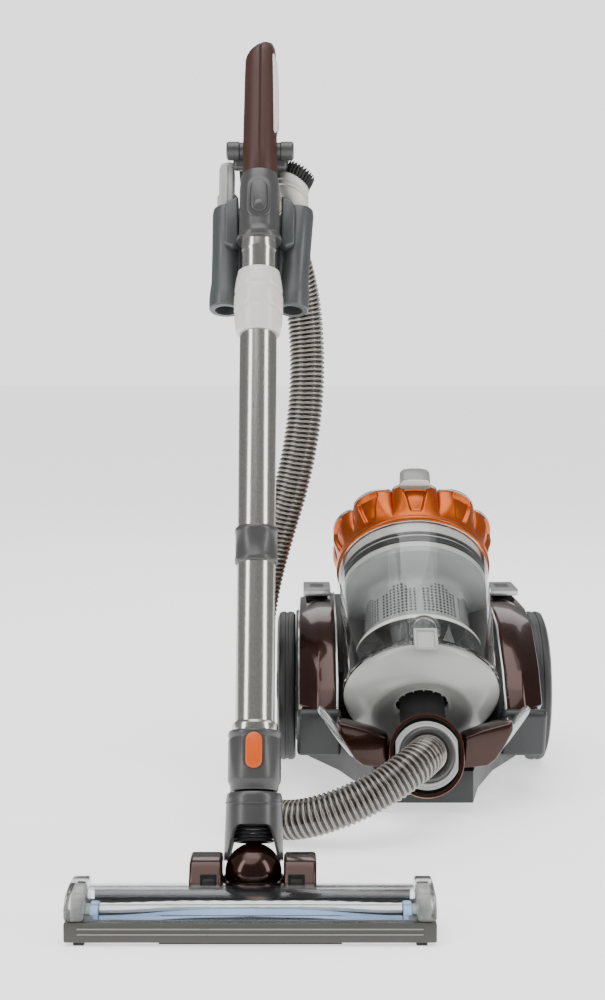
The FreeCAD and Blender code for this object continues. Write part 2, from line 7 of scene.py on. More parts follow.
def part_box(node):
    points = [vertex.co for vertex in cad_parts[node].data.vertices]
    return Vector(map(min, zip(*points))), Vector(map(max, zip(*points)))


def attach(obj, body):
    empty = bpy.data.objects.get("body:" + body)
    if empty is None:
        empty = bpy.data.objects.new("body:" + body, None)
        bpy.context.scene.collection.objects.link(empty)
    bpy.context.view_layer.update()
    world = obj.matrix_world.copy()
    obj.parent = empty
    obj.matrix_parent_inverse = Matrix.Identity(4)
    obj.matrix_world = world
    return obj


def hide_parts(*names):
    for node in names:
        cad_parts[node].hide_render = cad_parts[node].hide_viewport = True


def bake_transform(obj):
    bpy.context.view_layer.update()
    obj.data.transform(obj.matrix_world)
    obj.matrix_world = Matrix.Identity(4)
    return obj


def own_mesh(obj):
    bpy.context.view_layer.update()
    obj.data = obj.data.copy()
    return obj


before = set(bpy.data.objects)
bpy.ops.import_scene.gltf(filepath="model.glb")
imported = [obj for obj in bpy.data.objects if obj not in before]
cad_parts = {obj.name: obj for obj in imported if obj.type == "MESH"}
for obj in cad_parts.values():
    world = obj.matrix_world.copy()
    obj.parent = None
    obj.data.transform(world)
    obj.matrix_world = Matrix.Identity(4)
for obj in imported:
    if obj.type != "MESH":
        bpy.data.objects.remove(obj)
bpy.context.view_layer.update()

mm = 0.001


def frameAt(x, y, z, tilt):  # a place in mm and a turn about X in degrees
    return Matrix.Translation((x * mm, y * mm, z * mm)) @ Matrix.Rotation(radians(tilt), 4, "X")


canisterFrame = frameAt(80.5, -7.5, 0, 0)
binFrame = frameAt(80.5, 52.5, 115, -50)  # up the bin's axis is +Z, its top side is -Y
inletFrame = frameAt(80.5, -27.5, 67, 70)
wandFrame = frameAt(-88.5, -288.5, 32, -22)  # up the wand is +Z, its front is -Y
headFrame = frameAt(-88.5, -288.5, 0, 0)
sideways = Matrix(((0, 0, 1, 0), (1, 0, 0, 0), (0, 1, 0, 0), (0, 0, 0, 1)))  # drawn (x, y, z) is (y, z, x)
upright = Matrix(((1, 0, 0, 0), (0, 0, -1, 0), (0, 1, 0, 0), (0, 0, 0, 1)))  # drawn (x, y, z) is (x, -z, y)


# camera, light and floor

cameraValues = {"place": (-0.0465, -1.5975, 0.4665), "tilt": 85, "lens": 56.34, "sensor": 36}
floorValues = {"size": 60, "colour": (0.95, 0.95, 0.945), "rough": 0.6, "glow": 1.02}
skyValues = {"sun": 1.9, "sunWidth": 60, "sunTurn": (12, -8), "airOnObject": 0.3, "airBehind": 1.98}
lampValues = {  # place, aim, width, height, watts
    "leftBox": ((-2.2, -1.5, 1.5), (0, 0, 0.35), 0.7, 2.2, 30),
    "rightBox": ((2.1, -1.2, 1.4), (0, 0, 0.3), 0.7, 2.0, 26),
    "topBox": ((0, -0.2, 2.6), (0, 0, 0.2), 2.4, 1.8, 18),
    "backBox": ((0.3, 2.2, 1.9), (0, 0, 0.3), 2.2, 1.2, 18),
}


def linked(name, data):  # a new object in the scene
    piece = bpy.data.objects.new(name, data)
    bpy.context.scene.collection.objects.link(piece)
    return piece


def makeCamera():
    data = bpy.data.cameras.new("studioCamera")
    data.sensor_fit = "VERTICAL"
    data.sensor_width = data.sensor_height = cameraValues["sensor"]
    data.lens = cameraValues["lens"]
    data.dof.use_dof = False
    camera = linked("studioCamera", data)
    camera.location = cameraValues["place"]
    camera.rotation_euler = (radians(cameraValues["tilt"]), 0, 0)
    bpy.context.scene.camera = camera


def makeLamps():
    for name, (place, aim, width, height, watts) in lampValues.items():
        data = bpy.data.lights.new(name, "AREA")
        data.shape = "RECTANGLE"
        data.size, data.size_y, data.energy = width, height, watts
        lamp = linked(name, data)
        lamp.location = place
        lamp.rotation_euler = (Vector(place) - Vector(aim)).to_track_quat("Z", "Y").to_euler()
    data = bpy.data.lights.new("evenSky", "SUN")
    data.energy, data.angle = skyValues["sun"], radians(skyValues["sunWidth"])
    sun = linked("evenSky", data)
    sun.location = (0, 0, 3)
    sun.rotation_euler = (*(radians(angle) for angle in skyValues["sunTurn"]), 0)


def makeAir():
    world = bpy.data.worlds.new("studioAir")
    world.use_nodes = True
    tree = world.node_tree
    air = tree.nodes["Background"]
    air.inputs["Color"].default_value = (1, 1, 1, 1)
    seen = tree.nodes.new("ShaderNodeLightPath")
    strength = tree.nodes.new("ShaderNodeMapRange")
    strength.inputs["To Min"].default_value = skyValues["airOnObject"]
    strength.inputs["To Max"].default_value = skyValues["airBehind"]  # the pale wall that the camera sees
    tree.links.new(seen.outputs["Is Camera Ray"], strength.inputs["Value"])
    tree.links.new(strength.outputs["Result"], air.inputs["Strength"])
    bpy.context.scene.world = world


# materials

def graph(name):
    material = bpy.data.materials.new(name)
    material.use_nodes = True
    shader = material.node_tree.nodes["Principled BSDF"]
    return material, material.node_tree, shader


def node(tree, kind, **values):
    made = tree.nodes.new(kind)
    for key, value in values.items():
        if key in made.inputs:
            made.inputs[key].default_value = value
        else:
            setattr(made, key, value)
    return made


def noiseOn(tree, scale, detail=3, stretch=(1, 1, 1), turn=(0, 0, 0)):  # a noise on Object coordinates
    place = node(tree, "ShaderNodeTexCoord")
    mapping = node(tree, "ShaderNodeMapping")
    mapping.inputs["Scale"].default_value = stretch
    mapping.inputs["Rotation"].default_value = turn
    noise = node(tree, "ShaderNodeTexNoise", Scale=scale, Detail=detail)
    tree.links.new(place.outputs["Object"], mapping.inputs["Vector"])
    tree.links.new(mapping.outputs["Vector"], noise.inputs["Vector"])
    return noise.outputs["Fac"]


def rampOf(tree, source, stops):  # stops are (position, colour)
    ramp = node(tree, "ShaderNodeValToRGB")
    elements = ramp.color_ramp.elements
    while len(elements) < len(stops):
        elements.new(0.5)
    for element, (position, colour) in zip(elements, stops):
        element.position = position
        element.color = (*colour, 1)
    tree.links.new(source, ramp.inputs["Fac"])
    return ramp.outputs["Color"]


def spread(tree, source, low, high):  # the source's middle range mapped to low and high
    mapped = node(tree, "ShaderNodeMapRange")
    for socket, value in zip(("From Min", "From Max", "To Min", "To Max"), (0.3, 0.7, low, high)):
        mapped.inputs[socket].default_value = value
    tree.links.new(source, mapped.inputs["Value"])
    return mapped.outputs["Result"]


def bumpOf(tree, shader, source, strength, distance):
    bump = node(tree, "ShaderNodeBump", Strength=strength, Distance=distance)
    tree.links.new(source, bump.inputs["Height"])
    tree.links.new(bump.outputs["Normal"], shader.inputs["Normal"])


def plain(colour):  # 0-255 as seen, to the linear value a shader takes
    return tuple((c / 255 / 12.92) if c < 10 else ((c / 255 + 0.055) / 1.055) ** 2.4 for c in colour)


# plastic and rubber
def moulded(name, colour, rough, metal=0, coat=0, vary=0.06, grain=900, bump=0.08, coatRough=0.05):
    material, tree, shader = graph(name)
    tint = plain(colour)
    blotch = noiseOn(tree, 26, 4)
    darker, lighter = (tuple(min(1, c * (1 + change)) for c in tint) for change in (-vary, vary))
    stops = [(0.3, darker), (0.7, lighter)]
    tree.links.new(rampOf(tree, blotch, stops), shader.inputs["Base Color"])
    fine = noiseOn(tree, grain, 2)
    tree.links.new(spread(tree, blotch, rough * 0.9, rough * 1.12), shader.inputs["Roughness"])
    bumpOf(tree, shader, fine, bump, 0.0002)
    shader.inputs["Metallic"].default_value = metal
    shader.inputs["Coat Weight"].default_value = coat
    shader.inputs["Coat Roughness"].default_value = coatRough
    return material


def flake(name, colour, rough, metal, coat, spark=0.35):  # gloss paint with fine metal flakes under the lacquer
    material, tree, shader = graph(name)
    tint = plain(colour)
    flakes = noiseOn(tree, 2600, 1)
    darker, lighter = (tuple(min(1, c * (1 + change)) for c in tint) for change in (-spark / 2, spark))
    stops = [(0.35, darker), (0.68, lighter)]
    tree.links.new(rampOf(tree, flakes, stops), shader.inputs["Base Color"])
    tree.links.new(spread(tree, noiseOn(tree, 30, 3), rough * 0.85, rough * 1.15), shader.inputs["Roughness"])
    bumpOf(tree, shader, flakes, 0.05, 0.0001)
    shader.inputs["Metallic"].default_value = metal
    shader.inputs["Coat Weight"].default_value = coat
    shader.inputs["Coat Roughness"].default_value = 0.04
    return material


def drawnSteel(name, colour, rough, stretch=(1, 1, 0.02), turn=(0, 0, 0)):  # metal with fine drawing lines
    material, tree, shader = graph(name)
    tint = plain(colour)
    lines = noiseOn(tree, 1500, 2, stretch, turn)
    stops = [(0.3, tuple(c * 0.9 for c in tint)), (0.7, tuple(min(1, c * 1.06) for c in tint))]
    tree.links.new(rampOf(tree, lines, stops), shader.inputs["Base Color"])
    tree.links.new(spread(tree, lines, rough * 0.85, rough * 1.2), shader.inputs["Roughness"])
    bumpOf(tree, shader, lines, 0.06, 0.0001)
    shader.inputs["Metallic"].default_value = 1
    return material


def clearPlastic(name, colour, rough=0.02):  # lets lamps through, so what is inside is lit
    material, tree, shader = graph(name)
    tint = plain(colour)
    haze = noiseOn(tree, 18, 3)
    stops = [(0.3, tuple(c * 0.97 for c in tint)), (0.7, tint)]
    tree.links.new(rampOf(tree, haze, stops), shader.inputs["Base Color"])
    tree.links.new(spread(tree, haze, rough, rough * 2.2), shader.inputs["Roughness"])
    shader.inputs["Transmission Weight"].default_value = 1
    shader.inputs["IOR"].default_value = 1.3
    lamps = node(tree, "ShaderNodeLightPath")
    through = node(tree, "ShaderNodeBsdfTransparent")
    through.inputs["Color"].default_value = (0.93, 0.93, 0.93, 1)
    mix = node(tree, "ShaderNodeMixShader")
    tree.links.new(lamps.outputs["Is Shadow Ray"], mix.inputs[0])
    tree.links.new(shader.outputs[0], mix.inputs[1])
    tree.links.new(through.outputs[0], mix.inputs[2])
    tree.links.new(mix.outputs[0], tree.nodes["Material Output"].inputs["Surface"])
    return material


def ribbedHose(name):  # smoky hose colour, with painted shade in the valleys and a painted highlight beside the crests that the wire holds out
    material, tree, shader = graph(name)
    rib = node(tree, "ShaderNodeAttribute", attribute_name="rib")
    stops = [(0.0, plain((22, 20, 18))), (0.3, plain((46, 42, 38))), (0.62, plain((92, 85, 77))),
             (0.84, plain((166, 159, 148))), (1.0, plain((74, 68, 61)))]
    tree.links.new(rampOf(tree, rib.outputs["Fac"], stops), shader.inputs["Base Color"])
    tree.links.new(spread(tree, noiseOn(tree, 120, 3), 0.2, 0.34), shader.inputs["Roughness"])
    bumpOf(tree, shader, noiseOn(tree, 700, 2), 0.06, 0.0002)
    shader.inputs["Metallic"].default_value = 0.5
    shader.inputs["Coat Weight"].default_value = 0.6
    shader.inputs["Coat Roughness"].default_value = 0.12
    return material


finishValues = {  # maker, the record's slot, what the maker takes
    "darkCasing": (moulded, "dark_casing", dict(colour=(37, 39, 40), rough=0.4)),
    "midGrey": (moulded, "mid_grey", dict(colour=(62, 63, 62), rough=0.34, coat=0.15)),
    "holderGrey": (moulded, "mid_grey", dict(colour=(66, 69, 70), rough=0.36, coat=0.15)),
    "lightGrey": (moulded, "light_grey", dict(colour=(166, 167, 163), rough=0.3, coat=0.35, vary=0.03)),
    "tabGrey": (moulded, "light_grey", dict(colour=(132, 133, 129), rough=0.3, coat=0.3, vary=0.03)),
    "shroudGrey": (moulded, "light_grey", dict(colour=(128, 130, 129), rough=0.35, coat=0.2, vary=0.03)),
    "whitePlastic": (moulded, "white_plastic", dict(colour=(212, 209, 202), rough=0.32, coat=0.3, vary=0.02)),
    "oliveBumper": (moulded, "dark_casing", dict(colour=(62, 61, 56), rough=0.46, vary=0.08, bump=0.2,
                                                grain=500)),
    "browns": (flake, "brown_gloss", dict(colour=(46, 19, 10), rough=0.22, metal=0.75, coat=0.5)),
    "gripBrown": (moulded, "brown_gloss", dict(colour=(52, 18, 5), rough=0.5, coat=0.06, coatRough=0.3,
                                              bump=0.14, grain=1400)),
    "amber": (flake, "orange_gloss", dict(colour=(176, 78, 3), rough=0.34, metal=0.8, coat=0.25)),
    "buttonOrange": (moulded, "orange_button", dict(colour=(206, 82, 0), rough=0.36, coat=0.1, vary=0.04)),
    # a lighter copy of the brown gloss, painted as the highlight along the bezel's edge
    "copperEdge": (flake, "brown_gloss", dict(colour=(120, 66, 40), rough=0.18, metal=0.9, coat=0.6)),
    "silverPaint": (flake, "silver", dict(colour=(178, 180, 180), rough=0.24, metal=0.8, coat=0.5, spark=0.12)),
    "tubeSteel": (drawnSteel, "steel", dict(colour=(196, 193, 188), rough=0.19, stretch=(1, 1, 0.012),
                                           turn=(radians(22), 0, 0))),
    "bareSteel": (drawnSteel, "pin_steel", dict(colour=(170, 168, 164), rough=0.3)),
    "tyreRubber": (moulded, "tyre_rubber", dict(colour=(44, 45, 46), rough=0.5, bump=0.3, grain=700)),
    "blackRubber": (moulded, "black_rubber", dict(colour=(9, 9, 10), rough=0.6, bump=0.25, grain=700)),
    "blackBristle": (moulded, "black_rubber", dict(colour=(20, 20, 21), rough=0.5, vary=0.3, grain=1800)),
    "whiteBristle": (moulded, "white_plastic", dict(colour=(236, 234, 228), rough=0.6, vary=0.12, grain=1800)),
    "blueStrip": (moulded, "light_grey", dict(colour=(158, 184, 222), rough=0.45, vary=0.12, grain=1600,
                                               bump=0.2)),
    # a near-black copy of the dark casing, painted as the shade inside holes, wells, grooves and openings
    "darkVoid": (moulded, "dark_casing", dict(colour=(12, 12, 13), rough=0.7)),
    "clearCup": (clearPlastic, "clear", dict(colour=(250, 251, 251))),
    "clearWindow": (clearPlastic, "clear", dict(colour=(236, 240, 242), rough=0.03)),
    "smokyClear": (clearPlastic, "clear", dict(colour=(196, 198, 198), rough=0.08)),
    "copperWire": (moulded, "winding", dict(colour=(150, 82, 46), rough=0.35, metal=0.9, vary=0.2, grain=1500,
                                            bump=0.4)),
    "hoseSmoke": (ribbedHose, "smoke_hose", dict()),
}
finishes = {name: maker(name, **values) for name, (maker, slot, values) in finishValues.items()}


# how pieces are made

def clearSelection():
    if bpy.context.object and bpy.context.object.mode != "OBJECT":
        bpy.ops.object.mode_set(mode="OBJECT")
    bpy.ops.object.select_all(action="DESELECT")


def pick(piece):
    clearSelection()
    piece.select_set(True)
    bpy.context.view_layer.objects.active = piece


def drawLine(name, points, closed):  # one vertex, extruded from point to point; left in edit mode
    points = [Vector(point) * mm for point in points]
    clearSelection()
    bpy.ops.mesh.primitive_plane_add(size=0.01)
    piece = bpy.context.object
    piece.name = piece.data.name = name
    bpy.ops.object.mode_set(mode="EDIT")
    bpy.ops.mesh.select_all(action="SELECT")
    bpy.ops.mesh.merge(type="CENTER")
    bpy.ops.transform.translate(value=points[0])
    for before, after in zip(points, points[1:] + points[:1] if closed else points[1:]):
        bpy.ops.mesh.extrude_vertices_move(TRANSFORM_OT_translate={"value": after - before})
    bpy.ops.mesh.select_all(action="SELECT")
    bpy.ops.mesh.remove_doubles(threshold=1e-6)
    return piece


def tidyMesh():  # in edit mode: merge doubles, then turn every face outwards
    bpy.ops.mesh.select_all(action="SELECT")
    bpy.ops.mesh.remove_doubles(threshold=3e-6)
    bpy.ops.mesh.normals_make_consistent(inside=False)
    bpy.ops.object.mode_set(mode="OBJECT")


def turned(name, profile, sides=64, closed=False):  # (radius, height) in mm, spun round Z
    piece = drawLine(name, [(radius, 0, height) for radius, height in profile], closed)
    bpy.ops.mesh.spin(steps=sides, angle=tau, center=(0, 0, 0), axis=(0, 0, 1))
    tidyMesh()
    return piece


def prism(name, outline, levels):  # an outline in mm, lofted through (height, scale about its middle)
    piece = drawLine(name, [(x, y, levels[0][0]) for x, y in outline], True)
    middle = Vector((sum(x for x, y in outline), sum(y for x, y in outline), 0)) / len(outline) * mm
    bpy.ops.mesh.edge_face_add()
    size = levels[0][1]
    if size != 1:
        bpy.ops.transform.resize(value=(size, size, 1), center_override=middle)
    for (low, before), (high, after) in zip(levels, levels[1:]):
        bpy.ops.mesh.extrude_region_move(TRANSFORM_OT_translate={"value": (0, 0, (high - low) * mm)})
        if after != before:
            bpy.ops.transform.resize(value=(after / before, after / before, 1), center_override=middle)
    tidyMesh()
    return piece


def block(name, middle, size, rounding=0, segments=3):  # a box in mm with rounded edges
    clearSelection()
    bpy.ops.mesh.primitive_cube_add(size=1, location=Vector(middle) * mm, scale=Vector(size) * mm)
    piece = bpy.context.object
    piece.name = piece.data.name = name
    bpy.ops.object.transform_apply(location=True, rotation=True, scale=True)
    if rounding:
        bevelled(piece, rounding, segments, 20)
    return piece


def withModifier(piece, kind, **values):
    pick(piece)
    modifier = piece.modifiers.new(kind.lower(), kind)
    for key, value in values.items():
        setattr(modifier, key, value)
    bpy.ops.object.modifier_apply(modifier=modifier.name)
    return piece


def bevelled(piece, width, segments=2, angle=32):
    return withModifier(piece, "BEVEL", width=width * mm, segments=segments, limit_method="ANGLE",
                        angle_limit=radians(angle), harden_normals=False)


def placed(piece, matrix):  # the place goes into the mesh
    pick(piece)
    piece.matrix_world = matrix @ piece.matrix_world
    bpy.ops.object.transform_apply(location=True, rotation=True, scale=True)
    return piece


def copied(piece, name, matrix):  # a copy with its own mesh
    copy = piece.copy()
    copy.data = piece.data.copy()
    copy.name = copy.data.name = name
    bpy.context.scene.collection.objects.link(copy)
    return placed(copy, matrix)


def mirrored(piece, name):  # the other side's piece, across the canister's middle
    flip = canisterFrame @ Matrix.Scale(-1, 4, (1, 0, 0)) @ canisterFrame.inverted()
    copy = copied(piece, name, flip)
    bpy.ops.object.mode_set(mode="EDIT")
    tidyMesh()
    return copy


def joined(name, pieces):
    clearSelection()
    for piece in pieces:
        piece.select_set(True)
    bpy.context.view_layer.objects.active = pieces[0]
    if len(pieces) > 1:
        bpy.ops.object.join()
    pieces[0].name = pieces[0].data.name = name
    return pieces[0]


def shaped(piece, move):  # moves each vertex by a rule, in mm
    for vertex in piece.data.vertices:
        vertex.co = Vector(move(*(vertex.co / mm))) * mm
    piece.data.update()
    return piece


def ready(piece, body, finish, matrix=None, stands=(), smooth=35):  # placed, shaded, and tied to its body
    if matrix:
        placed(piece, matrix)
    pick(piece)
    bpy.ops.object.shade_smooth_by_angle(angle=radians(smooth))
    piece.data.materials.clear()
    piece.data.materials.append(finishes[finish])
    if body:
        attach(piece, body)
    if stands:
        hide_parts(*stands)
    return piece


def bothSides(piece, finish, matrix, body="canister", node=""):  # names with right in them get a left twin
    placed(piece, matrix)
    other = mirrored(piece, piece.name.replace("right", "left"))
    twin = node.replace("right", "left")
    ready(piece, body, finish, stands=[node] if node else ())
    ready(other, body.replace("right", "left"), finish, stands=[twin] if twin != node else ())


def tunnel(name, outer, inner, low, high, sides=64, lip=0):  # a tube with wall, in mm
    profile = [(inner, low), (outer - lip, low), (outer, low + lip), (outer, high - lip),
               (outer - lip, high), (inner, high)]
    return turned(name, profile, sides, True)


def stadium(half, radius, steps=10):  # two half circles joined by straight sides, long in x
    points = []
    for side in (1, -1):
        for k in range(steps + 1):
            angle = pi / 2 - pi * k / steps
            points.append((side * half + side * radius * cos(angle), side * radius * sin(angle)))
    return points


# the hose, first of the pieces

hoseValues = {
    "points": [(80.5, -25.6, 66.3), (80.5, -64.5, 80.4), (64, -98, 76), (30, -116, 56), (-12, -124, 38),
               (-56, -116, 24), (-90, -82, 20.5), (-104, -34, 20.5), (-101, 20, 20.5), (-99, 74, 20.5),
               (-100, 122, 46), (-101, 148, 100), (-99, 153, 160), (-91, 153, 216), (-76, 151, 272),
               (-58, 149, 330), (-46, 147, 390), (-41, 146, 446), (-42, 146, 500), (-48, 140, 548),
               (-60, 120, 590), (-76, 88, 622), (-88.5, 53.5, 638), (-88.5, 1.1, 659.2)],
    "pitch": 0.0052, "crest": 0.0195, "valley": 0.0176,
    "ringsPerRib": 7, "sides": 28,
}


def hoseLine():  # the route's own spline, read as points
    curve = bpy.data.curves.new("hoseRoute", "CURVE")
    curve.dimensions = "3D"
    spline = curve.splines.new("NURBS")
    spline.points.add(len(hoseValues["points"]) - 1)
    for point, place in zip(spline.points, hoseValues["points"]):
        point.co = (place[0] * mm, place[1] * mm, place[2] * mm, 1)
    spline.order_u = 3
    spline.use_endpoint_u = True
    curve.resolution_u = 16
    route = linked("hoseRoute", curve)
    line = bpy.data.meshes.new_from_object(route)
    points = [vertex.co.copy() for vertex in line.vertices]
    bpy.data.objects.remove(route)
    bpy.data.meshes.remove(line)
    return points


def evenly(points, count):  # the same line at equal steps
    lengths = [0]
    for before, after in zip(points, points[1:]):
        lengths.append(lengths[-1] + (after - before).length)
    steps, k = [], 0
    for n in range(count + 1):
        target = lengths[-1] * n / count
        while k < len(points) - 2 and lengths[k + 1] < target:
            k += 1
        share = (target - lengths[k]) / max(lengths[k + 1] - lengths[k], 1e-9)
        steps.append(points[k].lerp(points[k + 1], share))
    return steps, lengths[-1]


def fromRings(name, places, sides, ribs=None):  # rings of points in metres, bridged and closed at the ends
    faces, count = [], len(places) // sides
    for k in range(count - 1):
        for n in range(sides):
            a, b = k * sides + n, k * sides + (n + 1) % sides
            faces.append((a, b, b + sides, a + sides))
    faces.append(tuple(range(sides))[::-1])
    faces.append(tuple(range((count - 1) * sides, count * sides)))
    mesh = bpy.data.meshes.new(name)
    mesh.from_pydata(places, [], faces)
    if ribs:
        mesh.attributes.new("rib", "FLOAT", "POINT").data.foreach_set("value", ribs)
    piece = linked(name, mesh)
    pick(piece)
    bpy.ops.object.mode_set(mode="EDIT")
    tidyMesh()
    return piece


def ringsAlong(points):  # two directions square to the line at each point, without twist
    across = Vector((1, 0, 0))
    for k, point in enumerate(points):
        ahead = (points[min(k + 1, len(points) - 1)] - points[max(k - 1, 0)]).normalized()
        across = (across - ahead * across.dot(ahead)).normalized()
        yield point, across, ahead.cross(across)


def makeHose():
    line = hoseLine()
    length = sum((b - a).length for a, b in zip(line, line[1:]))
    count = int(length / hoseValues["pitch"]) * hoseValues["ringsPerRib"]
    steps, length = evenly(line, count)
    sides, middle = hoseValues["sides"], (hoseValues["crest"] + hoseValues["valley"]) / 2
    swing = (hoseValues["crest"] - hoseValues["valley"]) / 2
    places, ribs = [], []
    for k, (point, across, up) in enumerate(ringsAlong(steps)):
        for n in range(sides):
            around = tau * n / sides
            wave = cos(tau * k / hoseValues["ringsPerRib"] - around)
            radius = middle + swing * (1 - 2 * abs((1 - wave) / 2) ** 1.6)
            places.append(point + (across * cos(around) + up * sin(around)) * radius)
            ribs.append((1 + wave) / 2)
    hose = ready(fromRings("ribbedHose", places, sides, ribs), None, "hoseSmoke", smooth=60)
    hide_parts("hose")
    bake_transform(hose)
    print("hose", round(length, 4))


def makeFloor():
    clearSelection()
    bpy.ops.mesh.primitive_plane_add(size=floorValues["size"], location=(0, 0, 0))
    floor = bpy.context.object
    floor.name = "studioFloor"
    material, tree, shader = graph("floorFinish")
    shader.inputs["Base Color"].default_value = (*floorValues["colour"], 1)
    shader.inputs["Roughness"].default_value = floorValues["rough"]
    shader.inputs["Emission Color"].default_value = (1, 1, 1, 1)
    shader.inputs["Emission Strength"].default_value = floorValues["glow"]  # a light table
    floor.data.materials.append(material)


makeCamera()
makeLamps()
makeAir()
makeFloor()
makeHose()
print("camera, light, floor and hose are made")


# softened copies of the CAD shapes, for pieces whose outline is already right

def softened(nodeName, name, body, finish, width=1.5, segments=2, smooth=35):
    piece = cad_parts[nodeName].copy()
    piece.data = piece.data.copy()
    for key in [key for key in piece.keys() if key.startswith("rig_")]:
        del piece[key]
    piece.parent = None
    piece.matrix_world = Matrix.Identity(4)
    piece.name = piece.data.name = name
    bpy.context.scene.collection.objects.link(piece)
    pick(piece)
    bpy.ops.object.mode_set(mode="EDIT")
    bpy.ops.mesh.select_all(action="SELECT")
    bpy.ops.mesh.remove_doubles(threshold=1e-5)
    bpy.ops.mesh.dissolve_limited(angle_limit=radians(1.5))
    bpy.ops.object.mode_set(mode="OBJECT")
    bevelled(piece, width, segments, 30)
    return ready(piece, body, finish, stands=[nodeName], smooth=smooth)


def sweep(name, points, radius, sides=12):  # a round bar along points in mm
    places = []
    for point, across, up in ringsAlong([Vector(point) for point in points]):
        for n in range(sides):
            around = tau * n / sides
            places.append((point + (across * cos(around) + up * sin(around)) * radius) * mm)
    return fromRings(name, places, sides)


def ease(value):  # 0 to 1, slow at both ends
    value = min(max(value, 0), 1)
    return value * value * (3 - 2 * value)


def about(axis, angle, middle=(0, 0, 0)):  # a turn in degrees about an axis through a point in mm
    there = Matrix.Translation(Vector(middle) * mm)
    return there @ Matrix.Rotation(radians(angle), 4, axis) @ there.inverted()


def at(x, y, z):
    return Matrix.Translation((x * mm, y * mm, z * mm))


# canister: wheels

wheelValues = {
    "middle": (236, 87), "spokes": 5,
    "tyre": [(62, 136), (83, 135), (86, 137), (87, 140), (87, 143), (86, 143.6), (86, 146.4), (87, 147),
             (87, 150), (85.5, 153.5), (82, 155), (76, 154), (67, 155), (62, 153)],
    "edge": [(78, 154.4), (80.6, 154.6), (80.9, 155.4), (80, 156), (78, 155.8)],
    "hub": [(0, 139), (61.8, 139), (61.8, 152.5), (58, 155.5), (54, 153), (50, 149), (26, 149),
            (21, 153), (20, 156),
            (14, 157.6), (0, 158)],
    "spoke": [(18, -8), (30, -5.5), (56, -9), (56, 9), (30, 5.5), (18, 8)],
}


def makeWheels():
    wheelFrame = canisterFrame @ at(0, *wheelValues["middle"]) @ sideways
    tyre = turned("rightTyre", wheelValues["tyre"], 96, True)
    edge = turned("rightTyreEdge", wheelValues["edge"], 96, True)
    hub = turned("rightHub", wheelValues["hub"], 96)
    spoke = prism("spoke", wheelValues["spoke"], [(148, 1), (154.5, 1), (157, 0.82)])
    bevelled(spoke, 1.2)
    count = wheelValues["spokes"]
    spokes = [copied(spoke, "spoke", about("Z", 90 + 360 * k / count)) for k in range(count)]
    bpy.data.objects.remove(spoke)
    bothSides(tyre, "tyreRubber", wheelFrame, "right_wheel", "right_tyre")
    bothSides(edge, "silverPaint", wheelFrame, "right_wheel")
    bothSides(hub, "darkCasing", wheelFrame, "right_wheel", "right_hub")
    bothSides(joined("rightSpokes", spokes), "browns", wheelFrame, "right_wheel")


# canister: shells, cowl, trims, pedals

shellValues = {  # outlines are drawn (y, z), levels are (x, scale); cowl and blade are drawn (x, z), levels -y
    "shell": [(140, 46), (47, 98), (75, 135), (135, 176), (200, 190), (296, 190), (338, 165), (368, 115),
              (371, 46)],
    "shellLevels": [(89.5, 0.965), (93, 0.995), (110, 0.995), (130.5, 0.9)],
    "archRadius": 88.5, "rimScale": 1.012,
    "skirt": [(56, 47), (41, 94), (47, 101), (150, 66), (176, 47)],
    "well": [(236, 187), (236, 190.4), (288, 190.4), (288, 187)],
    "cowl": [(36, 47), (64, 50), (73, 57), (84, 74), (92, 90), (91, 99), (76, 95), (58, 90), (38, 82)],
    "blade": [(72, 53), (77, 56), (90, 72), (102, 89), (110, 101), (112, 106), (109.5, 108),
              (104, 105), (92, 90),
              (80, 72), (72, 58)],
}


def makeShells():
    middleY, middleZ = wheelValues["middle"]
    radius, larger = shellValues["archRadius"], shellValues["rimScale"]
    arc = [(radius * cos(radians(a)), radius * sin(radians(a))) for a in range(213, -34, -6)]
    inner = [(middleY + y, middleZ + z) for y, z in arc]
    outer = [(middleY + y * larger, middleZ + z * larger) for y, z in arc]
    for name, outline, levels, rounding, finish, node in (
            ("rightShell", shellValues["shell"], shellValues["shellLevels"], (7, 4), "browns", "right_shell"),
            ("rightShellEdge", shellValues["shell"], [(88.4, 0.99), (90.8, 0.99)], (0.8, 2), "silverPaint", ""),
            ("rightArch", inner, [(128.5, 1), (133.6, 1), (134.4, 0.99)], None, "darkCasing", ""),
            ("rightArchRim", outer, [(130.8, 1), (131.8, 1)], None, "silverPaint", ""),
            ("rightSkirt", shellValues["skirt"], [(86, 1), (129, 1), (133, 0.97)], (4, 3), "darkCasing", ""),
            # the pedal well is a near-black sheet, painted as the shade in the recess round the pedal
            ("rightPedalWell", shellValues["well"], [(97, 1), (123, 1)], (0.8, 2), "darkVoid", "")):
        piece = prism(name, outline, levels)
        if rounding:
            bevelled(piece, *rounding, 24)
        bothSides(piece, finish, canisterFrame @ sideways, node=node)
    cowl = prism("rightCowl", shellValues["cowl"], [(-22, 1), (-6, 1), (4, 0.92)])
    bevelled(cowl, 2.5, 3, 24)
    bothSides(cowl, "browns", canisterFrame @ upright)
    blade = prism("rightBlade", shellValues["blade"], [(-34, 1), (-24, 1), (-20.5, 0.96)])
    bevelled(blade, 1.6, 3, 24)
    bothSides(blade, "silverPaint", canisterFrame @ upright, node="side_trims")


pedalValues = {"ribs": 5, "ribStep": 6, "springX": 110, "springY": 262, "springFoot": 190.2, "springTall": 8.2,
               "springRadius": 9, "wire": 0.9, "turns": 4, "stepsPerTurn": 18}


